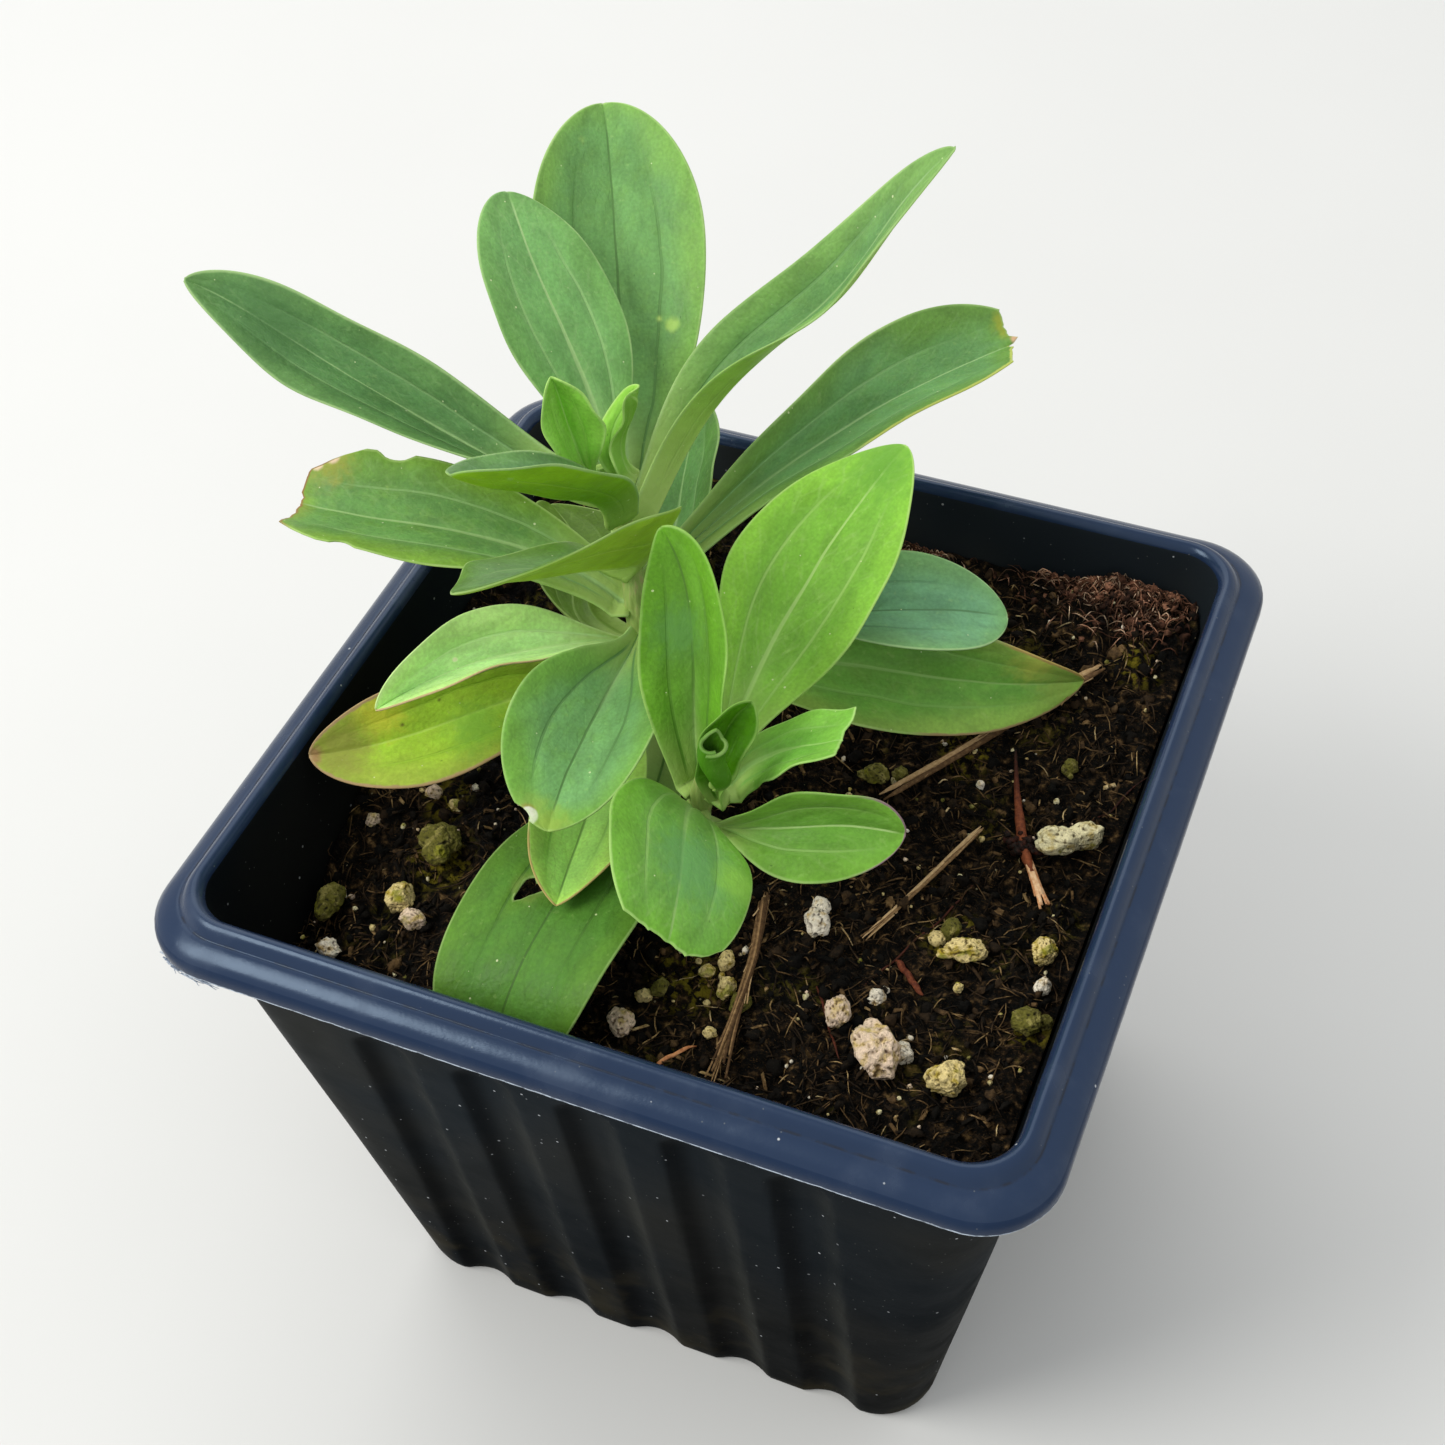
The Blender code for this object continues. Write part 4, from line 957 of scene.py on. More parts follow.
def build_pot():
    """The pot in rings, from its underside over the rim to its floor, each with its wear and its dirt."""
    rings = [(square_ring(*row), 0, 0) for row in UNDERSIDE]
    rings += [(pressed(square_ring(*row)), 0, 0) for row in POT_FOOT]
    for height in np.concatenate([np.linspace(*row) for row in WALL_ROWS]):
        rings.append((pressed(wall_ring(height)), 0, 0))
    for index, row in enumerate(SKIRT):
        wear = SKIRT_WEAR.get(index, 0)
        ring = square_ring(*row)
        rings.append((trimmed(ring) if wear else ring, wear, 0))
    for index, row in enumerate(FLANGE + BEAD):
        rings.append((square_ring(*row), 0, CREASE_DIRT.get(index, 0)))
    outside = len(rings) - 1
    for height in (*INNER_HEIGHTS, FLOOR_TOP):
        rings.append((square_ring(inner_half(height), inner_corner(height), height), 0, 0))
    rings, wear, dirt = zip(*rings)
    count = len(rings[0])
    points, faces = lofted(rings)
    pot = piece(
        "pot_shell", points * MM, faces, wall_material(), "pot_plastic", ("pot",),
        skirt=np.repeat(wear, count), crease=np.repeat(dirt, count), slope=flute_slope(points),
        inside=np.arange(len(points)) >= outside * count,
    )
    pot.data.materials.append(rim_material("pot_rim_plastic", RIM_COLOUR, RIM_GLOSS))
    pot.data.materials.append(rim_material("pot_bead_plastic", BEAD_COLOUR, BEAD_GLOSS))
    for polygon in pot.data.polygons:
        reach = max(abs(polygon.center.x), abs(polygon.center.y)) / MM
        if reach < MOUTH_HALF and polygon.center.z < MOUTH_HEIGHT * MM:
            continue
        polygon.material_index = sum(polygon.center.z > height * MM for height in (WALL_TOP_HEIGHT, GLOSS_HEIGHT))
    cut_drains(pot)
    pot.data.set_sharp_from_angle(angle=SHARP_ANGLE)


def build_burr():
    rng = np.random.default_rng(37)
    heap = Heap()
    for _ in range(BURR_COUNT):
        x = rng.uniform(*BURR_START)
        line = [(x, BURR_LINE + max(0, BURR_BEND[0] - x) ** 2 * BURR_BEND[1], BURR_HEIGHT)]
        heading = rng.normal(0.2, 0.5)
        for _ in range(BURR_STEPS):
            heading += rng.normal(0, 0.35)
            x, y, z = line[-1]
            line.append((x + 0.5 * cos(heading), y + 0.12 * sin(heading), z - rng.uniform(0, 0.2)))
        heap.tube(line, np.linspace(0.11, 0.03, BURR_STEPS + 1), 5, rng.uniform(0.3, 1), 0.5)
    heap.piece("rim_burr", tone_material("trimmed_plastic", BURR_TONES, 0.6), "pot_plastic")


# Soil


def soil_level(x, y):
    """Height of the peat in millimetres, without its crumbs."""
    x = np.asarray(x, float)
    y = np.asarray(y, float)
    height = SOIL_LEVEL + BACK_RISE * np.clip((y - BACK_RISE_START) / BACK_RISE_LENGTH, 0, 1)
    height = height - FRONT_DIP * np.exp(-((y - FRONT_DIP_PLACE) ** 2) / (2 * FRONT_DIP_SPREAD**2))
    for rise, middle_x, middle_y, spread in SOIL_HUMPS:
        height = height + rise * np.exp(-((x - middle_x) ** 2 + (y - middle_y) ** 2) / (2 * spread**2))
    for rise, *waves in SOIL_WAVES:
        first, second = (np.sin(x_turn * x + y_turn * y + start) for x_turn, y_turn, start in waves)
        height = height + rise * first * second
    return height


def crumb_relief(x, y):
    """The peat's lumps and pits at a place, in millimetres."""
    lumps = 0.9 * wander(x * 0.27, y * 0.27, 0.5)
    crumbs = 1.1 * (0.3 - abs(wander(x * 0.6, y * 0.6, 4.2)))
    grit = 0.45 * wander(x * 1.5, y * 1.5, 9.1)
    return lumps + crumbs + grit


def soil_top(x, y):
    return float(soil_level(x, y)) + crumb_relief(x, y)


def soil_half(height):
    return inner_half(height) - GAP


def round_square(u, v, half, corner):
    """Maps a point of the square from -1 to 1 onto a square with round corners."""
    reach = max(abs(u), abs(v))
    if reach == 0:
        return 0.0, 0.0
    x, y = abs(u) / reach * half, abs(v) / reach * half
    a, b = x - (half - corner), y - (half - corner)
    if a > 0 and b > 0:
        angle = b / corner * pi / 4 if a >= b else pi / 2 - a / corner * pi / 4
        x = half - corner + corner * cos(angle)
        y = half - corner + corner * sin(angle)
    return copysign(x * reach, u), copysign(y * reach, v)


def soil_material():
    shader = Shader("peat")
    place = shader.place()
    lumps = place.noise(0.85, 8)
    fibre = place.stretch(1.0, 2.8, 1.0).noise(1.8, 5, 2.0)
    wet = place.noise(0.055, 3).span(0.5, 0.62)
    algae = place.noise(0.13, 4).span(0.56, 0.68) * lumps.span(0.45, 0.6)
    colour = lumps.ramp(SOIL_TONES).mix(fibre.span(0.58, 0.72, 0, 0.7), SOIL_FIBRE)
    colour = colour.shade(wet.span(0, 1, 1.0, 0.32)).mix(algae * 0.55, ALGAE)
    ground = place.stretch(1.0, 1.0, 0.0)
    for x, y, reach in MOSS_PLACES:
        tuft = ground.distance(x, y, 0).span(reach * 1.3, reach * 0.4) * place.noise(0.9, 5).span(0.46, 0.6)
        colour = colour.mix(tuft * 0.85, MOSS)
    colour = colour.mix(place.specks(0.7, 0.11, 0.1) * 0.8, SOIL_SPECK)
    bumps = place.noise(1.7, 6) * 0.9 + fibre * 0.5
    return shader.finish(colour, wet.span(0, 1, 0.95, 0.6), bumps, Specular_IOR_Level=0.1)


def soil_point(u, v):
    """A point of the peat's top, calm where it meets the pot."""
    edge = soil_half(SOIL_LEVEL)
    x, y = round_square(u, v, edge, inner_corner(SOIL_LEVEL))
    level = float(soil_level(x, y))
    reach = max(abs(u), abs(v))
    scale = soil_half(level) / edge * reach**6 + (1 - reach**6)
    x, y = x * scale, y * scale
    return x, y, level + crumb_relief(x, y) * (1 - reach**40)


def build_soil():
    """The peat: a lumpy top on a grid, and plain sides down to the pot's floor."""
    cells = SOIL_CELLS
    wide = cells + 1
    marks = [2 * i / cells - 1 for i in range(wide)]
    body = [[soil_point(u, v) for u in marks for v in marks]]
    faces = [(a, a + wide, a + wide + 1, a + 1) for a in range(cells * wide) if a % wide < cells]
    border = [(i, 0) for i in range(cells)] + [(cells, j) for j in range(cells)]
    border += [(i, cells) for i in range(cells, 0, -1)] + [(0, j) for j in range(cells, 0, -1)]
    upper = [i * wide + j for i, j in border]
    for height in SOIL_RINGS:
        count = sum(len(part) for part in body)
        half, corner = soil_half(height), inner_corner(height)
        body.append([(*round_square(marks[i], marks[j], half, corner), height) for i, j in border])
        lower = list(range(count, count + len(border)))
        faces += zip(upper, lower, lower[1:] + lower[:1], upper[1:] + upper[:1])
        upper = lower
    faces.append(tuple(reversed(upper)))
    piece("peat", np.concatenate(body) * MM, faces, soil_material(), "peat", ("soil",))


def lump_points(rng, base, size, rough=0.14):
    """A small lump: a sphere's points cut flat on a few sides, made uneven, stretched and turned."""
    sides = unit(rng.normal(size=(LUMP_SIDES, 3)))
    reach = (base @ sides.T).max(axis=1, keepdims=True)
    scale = np.minimum(1, 0.36 / np.maximum(reach, 0.1)) * (1 + rng.normal(0, rough, (len(base), 1)))
    turn = spin(rng.uniform(0, 6.28), Vector(rng.normal(size=3)).normalized())
    return (base * scale * rng.uniform(0.7, 1.35, 3) * size) @ turn


def tone_material(name, stops, roughness=0.9, scale=1.5, patches=0.0):
    shader = Shader(name)
    place = shader.place()
    uneven = (place.noise(scale, 4) - 0.5) * 0.5
    patch = place.noise(0.42, 3).span(0.38, 0.6, 1 - patches, 1 + 0.5 * patches)
    colour = (shader.value("tone") + uneven).ramp(stops).shade(patch)
    bumps = place.noise(2.5 * scale, 3) * (0.3 / scale)
    return shader.finish(colour, roughness, bumps, Specular_IOR_Level=0.12)


def inside_pot(rng, margin=1.5):
    """A random place on the peat, in millimetres."""
    half = inner_half(SOIL_LEVEL) - margin
    while True:
        x, y = rng.uniform(-half, half, 2)
        if hypot(max(0, abs(x) - half + 4), max(0, abs(y) - half + 4)) < 4:
            return x, y


def chip_points(rng, length):
    """A flat splinter of bark: a box with narrow, uneven ends, tilted a little and turned at random."""
    ends = (-0.5, 0.5)
    corners = np.array([(x, y, z) for x in ends for y in ends for z in ends])
    corners += rng.normal(0, 0.13, (8, 3))
    corners *= (length, length * rng.uniform(0.12, 0.35), length * rng.uniform(0.06, 0.14))
    tilt = Matrix.Rotation(rng.normal(0, 0.35), 3, "Y") @ Matrix.Rotation(rng.normal(0, 0.4), 3, "X")
    return corners @ np.array(tilt) @ spin(rng.uniform(0, 6.28))


def build_crumbs():
    rng = np.random.default_rng(5)
    base, faces = sphere(2)
    heap = Heap()
    for _ in range(CRUMB_COUNT):
        x, y = inside_pot(rng)
        size = 0.5 * 2 ** rng.uniform(0, 1.9)
        points = lump_points(rng, base, size, 0.2) + (x, y, soil_top(x, y) + size * rng.uniform(-0.15, 0.15))
        heap.add(points * MM, faces, tone=rng.beta(1.6, 3.6))
    for _ in range(CHIP_COUNT):
        x, y = inside_pot(rng, 2.5)
        length = 0.55 * 2 ** rng.uniform(0, 1.7)
        points = chip_points(rng, length) + (x, y, soil_top(x, y) + rng.uniform(0, 0.25))
        heap.add(points * MM, CHIP_FACES, tone=rng.beta(1.8, 2.6))
    heap.piece("peat_crumbs", tone_material("peat_crumb", PEAT_TONES), "peat")


def add_fibre(heap, rng, place, length, lift, radius, tone):
    """A short fibre that lies on the peat."""
    x, y = place
    heading = rng.uniform(0, 2 * np.pi)
    bending = rng.normal(0, 0.12)
    route = []
    for step in range(FIBRE_STEPS + 1):
        arch = lift * sin(pi * step / FIBRE_STEPS)
        route.append((x, y, soil_top(x, y) + FIBRE_CLEARANCE + arch))
        heading += bending + rng.normal(0, 0.12)
        x += cos(heading) * length / FIBRE_STEPS
        y += sin(heading) * length / FIBRE_STEPS
    route = np.array(route)
    route[:, 2] = smoothed(route[:, 2], 1)
    limit = inner_half(SOIL_LEVEL) - 0.6
    route[:, :2] = np.clip(route[:, :2], -limit, limit)
    heap.tube(route, radius * np.array(FIBRE_TAPER), 3, tone)


def build_fibres():
    rng = np.random.default_rng(11)
    heap = Heap()
    for _ in range(FIBRE_COUNT):
        length = 0.9 * 2 ** rng.uniform(0, 2.3)
        tone = min(1, 0.25 + rng.beta(2, 3) * 0.8)
        add_fibre(heap, rng, inside_pot(rng), length, rng.uniform(0, 0.5), rng.uniform(0.05, 0.11), tone)
    heap.piece("peat_fibres", tone_material("peat_fibre", PEAT_TONES, 0.8, patches=0.35), "peat")
    heap = Heap()
    base, faces = sphere(2)
    limit = inner_half(SOIL_LEVEL) - 1
    for index in range(MAT_FIBRES):
        x, y, wide, deep = MAT_PLACES[(index % 8 > 4) + (index % 8 > 6)]
        place = np.clip(rng.normal((x, y), (wide, deep)), -limit, limit)
        tone = rng.beta(1.5, 2)
        add_fibre(heap, rng, place, rng.uniform(0.8, 3), rng.uniform(0, 1.4), rng.uniform(0.04, 0.1), tone)
        if index % 6 == 0:
            lump = lump_points(rng, base, rng.uniform(0.4, 1.4), 0.25)
            lump = lump + (*place, soil_top(*place) + rng.uniform(0, 0.6))
            heap.add(lump * MM, faces, tone=rng.uniform(0, 0.5))
    heap.piece("russet_roots", tone_material("russet_root", RUSSET_TONES, 0.8, patches=0.75), "peat")


# Leaves and stems


def shoot_point(shoot, height):
    foot = np.array(shoot.foot, float)
    top = np.array(shoot.top, float)
    return foot + (top - foot) * (height - foot[2]) / (top[2] - foot[2])


def bend(values, share):
    first, middle, last = values
    return first * (1 - share) ** 2 + 2 * middle * share * (1 - share) + last * share**2


def leaf_frame(leaf, share):
    """The directions along, level, across and out of the blade's upper face, at a share of its length."""
    heading = radians(bend(leaf.heading, share))
    rise = radians(bend(leaf.rise, share))
    roll = radians(leaf.roll[0] + (leaf.roll[1] - leaf.roll[0]) * share)
    along = np.array((cos(heading) * cos(rise), sin(heading) * cos(rise), sin(rise)))
    level = np.array((-sin(heading), cos(heading), 0))
    upward = np.cross(along, level)
    return along, level, cos(roll) * level + sin(roll) * upward, cos(roll) * upward - sin(roll) * level


def leaf_spine(leaf):
    """Points down the midrib, at equal steps of its length, in millimetres."""
    heading = radians(leaf.heading[0])
    place = shoot_point(SHOOTS[leaf.shoot], leaf.height)
    places = [place + leaf.out * np.array((cos(heading), sin(heading), 0))]
    for index in range(SPINE_STEPS):
        along = leaf_frame(leaf, (index + 0.5) / SPINE_STEPS)[0]
        places.append(places[-1] + along * (leaf.length / SPINE_STEPS))
    for index, place in enumerate(places):
        share = index / SPINE_STEPS
        places[index] = place + leaf_frame(leaf, share)[1] * leaf.sway * sin(2 * pi * share)
    return np.array(places)


def on_spine(spine, share):
    """The point of the midrib at a share of its length, or the points at many."""
    marks = np.linspace(0, 1, len(spine))
    return np.stack([np.interp(share, marks, spine[:, axis]) for axis in range(3)], axis=-1)


def leaf_half_width(leaf, share):
    whole = TORN[leaf.name].whole if leaf.name in TORN else 1
    if share < leaf.widest:
        swell = sin(share / leaf.widest * pi / 2) ** NECK_CURVE
        width = leaf.neck + (1 - leaf.neck) * swell
    else:
        past = (share - leaf.widest) / (whole - leaf.widest)
        width = max(0, 1 - past * past) ** leaf.blunt
    return max(LEAST_HALF_WIDTH, leaf.width / 2 * width)


def leaf_end(leaf, station):
    """The share of the length at which the blade ends, at a station."""
    if leaf.name not in TORN:
        return 1.0
    ragged = wander(station * 9, leaf.length, 0.3) + 0.6 * wander(station * 23, leaf.length, 5.3)
    return np.interp(station, *zip(*TORN[leaf.name].edge)) + TEAR_RAGGED * ragged


def leaf_reach(leaf, share, station):
    """The share of the length at which a row crosses a station: less than the row's own by a tear."""
    if leaf.name not in TORN or share < TEAR_START:
        return share
    return TEAR_START + (share - TEAR_START) * (leaf_end(leaf, station) - TEAR_START) / (1 - TEAR_START)


def margin_reach(leaf, share, station):
    """The station at which the blade ends on the side of a station: less than 1 in a bite."""
    reach = 1.0
    for bite in BITES.get(leaf.name, ()):
        inside = 1 - ((share - bite.middle) / bite.reach) ** 2
        if bite.side == np.sign(station) and inside > 0:
            reach = min(reach, 1 - bite.depth * sqrt(inside))
    return reach


def leaf_point(leaf, spine, share, station):
    """A point of the blade's middle surface, which curls up from the midrib to each margin."""
    _, _, across, out = leaf_frame(leaf, share)
    fold = radians(leaf.fold[0] + (leaf.fold[1] - leaf.fold[0]) * share)
    lift = abs(station) ** CURL * sin(fold)
    return on_spine(spine, share) + leaf_half_width(leaf, share) * (station * cos(fold) * across + lift * out)


def hole_measure(leaf, share, station):
    """How far a place is from the middle of the blade's hole: 1 at its edge."""
    hole = HOLES[leaf.name]
    along = share * leaf.length - hole.along
    across = station * leaf_half_width(leaf, share) - hole.across
    a = (along * cos(hole.turn) + across * sin(hole.turn)) / hole.long
    b = (across * cos(hole.turn) - along * sin(hole.turn)) / hole.wide
    angle = atan2(b, a)
    return hypot(a, b) / (1 + 0.3 * cos(3 * angle) + 0.06 * sin(7 * angle))


def open_hole(leaf, shares, stations):
    """Leaves out the cells in the blade's hole and draws the others up to its edge."""
    kept = np.ones((len(shares) - 1, shares.shape[1] - 1), bool)
    if leaf.name not in HOLES:
        return kept
    hole = HOLES[leaf.name]
    measure = each(lambda share, station: hole_measure(leaf, share, station), shares, stations)
    for row, column in np.ndindex(kept.shape):
        kept[row, column] = (measure[row : row + 2, column : column + 2] < 1).sum() < 3
    for row, column in np.ndindex(kept.shape):
        around = kept[row - 1 : row + 1, column - 1 : column + 1]
        if not row or not column or around.all() or not around.any():
            continue
        share, station = shares[row, column], stations[row, column]
        half = leaf_half_width(leaf, share)
        stretch = 1 / measure[row, column]
        shares[row, column] = (hole.along + (share * leaf.length - hole.along) * stretch) / leaf.length
        stations[row, column] = (hole.across + (station * half - hole.across) * stretch) / half
    return kept


def leaf_layout(leaf):
    """The share and the station of each point of a leaf's fine grid, and which of its cells are kept."""
    rows = 1 - (1 - np.linspace(0, 1, LEAF_ROWS)) ** ROW_CROWDING
    even = np.linspace(-1, 1, LEAF_COLUMNS)
    even = even - COLUMN_CROWDING * np.sin(4 * np.pi * even) / (4 * np.pi)
    grids = np.meshgrid(rows, even, indexing="ij")
    shares = each(lambda share, station: leaf_reach(leaf, share, station), *grids)
    stations = each(lambda share, station: station * margin_reach(leaf, share, station), *grids)
    return shares, stations, open_hole(leaf, shares, stations)


def leaf_values(leaf, shares, stations):
    """What the leaf's material reads, in millimetres: places on the blade and the way to its edge."""
    half = each(lambda share: leaf_half_width(leaf, share), shares)
    reach = each(lambda share, station: margin_reach(leaf, share, station), shares, stations)
    to_end = each(lambda share, station: leaf_end(leaf, station) - share, shares, stations)
    edge = np.minimum((reach - np.abs(stations)) * half, to_end * leaf.length)
    if leaf.name in HOLES:
        hole = HOLES[leaf.name]
        measure = each(lambda share, station: hole_measure(leaf, share, station), shares, stations)
        edge = np.minimum(edge, (measure - 1) * (hole.long + hole.wide) / 2)
    across = stations * half
    return {"along": shares * leaf.length, "across": across, "vein": SIDE_VEIN * half, "edge": np.maximum(edge, 0)}


def leaf_relief(shares, stations, values, seed):
    """How far the upper and the under face stand out from the middle surface, in millimetres."""
    side = np.sign(stations)
    off = np.abs(stations)
    middle = np.sin(np.pi * np.clip(shares, 0, 1))
    bulge = np.sin(np.pi * np.clip(off / SIDE_VEIN, 0, 2)) ** 2 * middle**0.5
    turns = 2 * np.pi * (RIPPLE_TURNS * shares + 0.37 * seed + 0.21 * side)
    wave = RIPPLE * off**3 * np.sin(turns) * middle**0.5
    uneven = each(lambda share, station: wander(share * 5, station * 1.7, seed * 3.7), shares, stations)
    lift = QUILT * bulge + wave + UNEVEN * uneven * middle
    thick = PETIOLE + (BLADE - PETIOLE) * np.clip(shares / PETIOLE_SHARE, 0, 1)
    thick = thick * (1 - EDGE_THIN * np.exp(-values["edge"] / EDGE_REACH))
    groove = GROOVE * np.exp(-((values["across"] / GROOVE_WIDTH) ** 2)) * (1 - 0.5 * shares)
    keel = KEEL * np.exp(-((values["across"] / KEEL_WIDTH) ** 2)) * np.clip(1 - shares, 0, 1) ** 0.7
    return lift + thick / 2 - groove, lift - thick / 2 - keel


def leaf_faces(rows, columns, kept):
    """Faces of both sides of a blade, and the narrow faces round its edge and its hole."""
    under = rows * columns
    faces = []
    edges = {}
    for row, column in np.ndindex(kept.shape):
        if not kept[row, column]:
            continue
        a = row * columns + column
        b = a + columns
        faces.append((a, b, b + 1, a + 1))
        faces.append((under + a, under + a + 1, under + b + 1, under + b))
        for start, end in ((a, b), (b, b + 1), (b + 1, a + 1), (a + 1, a)):
            if (end, start) in edges:
                del edges[(end, start)]
            else:
                edges[(start, end)] = True
    return faces + [(end, start, under + start, under + end) for start, end in edges]


def toned(colour, amount):
    """A colour moved towards the pale vein colour, or towards the dark one by a negative amount."""
    goal = PALE_VEIN if amount > 0 else DARK_VEIN
    return tuple(first + (last - first) * abs(amount) for first, last in zip(colour, goal))


def leaf_marks(shader, leaf, along, across, edge, broad, jitter, colour):
    """The colour with the blade's own spots, its pale rim and its coloured strips."""
    spot_map = shader.join(along, across, 0.0)
    for spot in SPOTS.get(leaf.name, ()):
        middle = (spot.share * leaf.length, spot.station * leaf_half_width(leaf, spot.share), 0)
        away = spot_map.distance(*middle) + jitter * spot.soft
        colour = colour.mix(away.span(spot.radius + spot.soft, spot.radius - spot.soft) * 0.85, spot.colour)
    rim = (edge + jitter * 0.08).span(0.34, 0.08) * broad.span(0.35, 0.6, 0.35, 0.85)
    colour = colour.mix(rim, toned(LOOKS[leaf.name].margin, 0.5))
    for strip in STRIPS.get(leaf.name, ()):
        start, end = strip.start * leaf.length, strip.end * leaf.length
        inside = (edge + jitter * (strip.width * 0.5)).span(strip.width, strip.width * 0.4)
        inside = inside * along.span(start, start + 4) * along.span(end + 3, end)
        if strip.side:
            inside = inside * (across * float(strip.side)).span(-0.3, 0.3)
        colour = colour.mix(inside, strip.colour)
    return colour


def leaf_material(leaf, seed):
    look = LOOKS[leaf.name]
    length = leaf.length
    shader = Shader(leaf.name)
    along, across, vein, edge, upper = (
        shader.value(name) for name in ("along", "across", "vein", "edge", "upper")
    )
    place = shader.join(along, across, 17.0 * seed)
    # The blade, from its margin to its middle, whose middle colour holds a painted bluish sheen of the sky
    broad = place.noise(0.11, 2)
    middling = place.noise(0.45, 3)
    veil = place.stretch(0.5, 1.0, 1.0).noise(0.34, 5, 0.6)
    colour = (edge + (broad - 0.5) * 7.0).span(0.2, 4.6).blend(look.margin, look.centre)
    colour = colour.mix(middling.span(0.42, 0.8) * 0.35, look.margin)
    colour = colour.shade(veil.span(0.3, 0.7, 0.86, 1.11)).shade(place.noise(2.4, 5).span(0.28, 0.72, 0.9, 1.08))
    # Slanting side veins and a faint net between them
    drift = place.stretch(0.09, 0.1, 1.0).noise(1.0, 2) - 0.5
    off = abs(across + drift * 0.5)
    feather = ((along - off * 1.9 + broad * 9.0) * 1.5).math("SINE").span(0.75, 1.0)
    net = place.stretch(0.5, 1.0, 1.0).cells(0.8, "DISTANCE_TO_EDGE").span(0.12, 0.0)
    inner = edge.span(0.3, 1.8) * middling.span(0.35, 0.65)
    colour = colour.mix(inner * (feather * 0.16 + net * 0.12), toned(look.centre, look.vein * 1.6))
    # Midrib and the two long side veins, wide and pale at the foot
    width = along.span(0, length * 0.75, 0.6, 0.2)
    rib = off.span(width, width * 0.45) * along.span(length, length * 0.9)
    halo = off.span(1.9, 0.0) * along.span(0, length * 0.7, 0.6, 0.0)
    foot = along.span(length * 0.34, 0.0, 0.0, 0.8)
    rib_colour = along.span(length * 0.1, length * 0.5).blend(toned(look.centre, 0.5), toned(look.centre, look.rib))
    colour = colour.mix(halo, toned(look.centre, 0.42)).mix(foot, FOOT_TONE).mix(rib * 0.95, rib_colour)
    from_vein = abs(off - (vein + drift * 0.6))
    ends = along.span(0, length * 0.12) * along.span(length * 0.94, length * 0.62)
    side_vein = from_vein.span(0.22, 0.1) * ends
    soft_vein = from_vein.span(0.9, 0.0) * ends
    colour = colour.mix(side_vein * 0.72 + soft_vein * 0.22, toned(look.centre, look.vein))
    # The under face
    under = middling.span(0.3, 0.7, 0.9, 1.06).tint(look.under)
    under = under.mix(rib * 0.6, toned(look.under, 0.45)).mix(side_vein * 0.4, toned(look.under, 0.3))
    colour = upper.span(0.35, 0.65).blend(under.mix(foot, FOOT_TONE), colour)
    # Flecks and marks
    pale = place.specks(0.36, 0.06, 0.45) + place.specks(1.1, 0.12, 0.06)
    fleck = place.noise(1.1, 5).span(0.63, 0.72)
    dark = place.stretch(0.6, 1.3, 1.0).specks(0.6, 0.07, 0.16)
    colour = colour.mix(pale * 0.7, FLECK).mix(fleck * 0.3, toned(look.margin, 0.35)).mix(dark * 0.45, DARK_FLECK)
    jitter = (place.noise(0.9, 4) - 0.5) * 2.0
    colour = leaf_marks(shader, leaf, along, across, edge, broad, jitter, colour)
    bumps = side_vein * -0.05 + soft_vein * -0.08 + net * -0.012
    bumps = bumps + place.noise(0.8, 2) * 0.14 + place.noise(5, 2) * 0.016
    return shader.finish(
        colour, veil.span(0.3, 0.7, 0.40, 0.56), bumps,
        Subsurface_Weight=0.06, Subsurface_Radius=(0.4, 0.8, 0.15), Subsurface_Scale=MM, Specular_IOR_Level=0.16,
    )


def leaf_slot(name):
    if name in YOUNG:
        return "leaf_young"
    return "leaf_ageing" if name in AGEING else "leaf_mature"


def blade_piece(leaf, seed, grid, over, below, values, kept):
    """Joins the two faces of a blade into one closed mesh, from its middle surface and its relief."""
    normal = unit(np.cross(np.gradient(grid, axis=0), np.gradient(grid, axis=1)))
    points = np.concatenate([(grid + normal * height[..., None]).reshape(-1, 3) for height in (over, below)])
    stored = {key: np.tile(value.ravel(), 2) for key, value in values.items()}
    rows, columns = grid.shape[:2]
    made = piece(
        leaf.name + "_blade", points * MM, leaf_faces(rows, columns, kept), leaf_material(leaf, seed),
        leaf_slot(leaf.name), (leaf.name,), **stored, upper=np.repeat([1.0, 0.0], rows * columns),
    )
    clean_loose(made)


def build_leaf(leaf, seed):
    shares, stations, kept = leaf_layout(leaf)
    spine = leaf_spine(leaf)
    grid = each(lambda share, station: leaf_point(leaf, spine, share, station), shares, stations)
    values = leaf_values(leaf, shares, stations)
    over, below = leaf_relief(shares, stations, values, seed)
    # Rows that lead from the foot into the stem
    inward = shoot_point(SHOOTS[leaf.shoot], leaf.height) - spine[0]
    foot_rows = [
        spine[0] + (grid[0] - spine[0]) * (1 - FOOT_NARROWING * share) + inward * share for share in FOOT_SHARES
    ]

    def with_foot(array):
        return np.concatenate([np.repeat(array[:1], len(FOOT_SHARES), axis=0), array])

    values = {key: with_foot(value) for key, value in values.items()}
    grid = np.concatenate([np.array(foot_rows), grid])
    blade_piece(leaf, seed, grid, with_foot(over), with_foot(below), values, with_foot(kept))


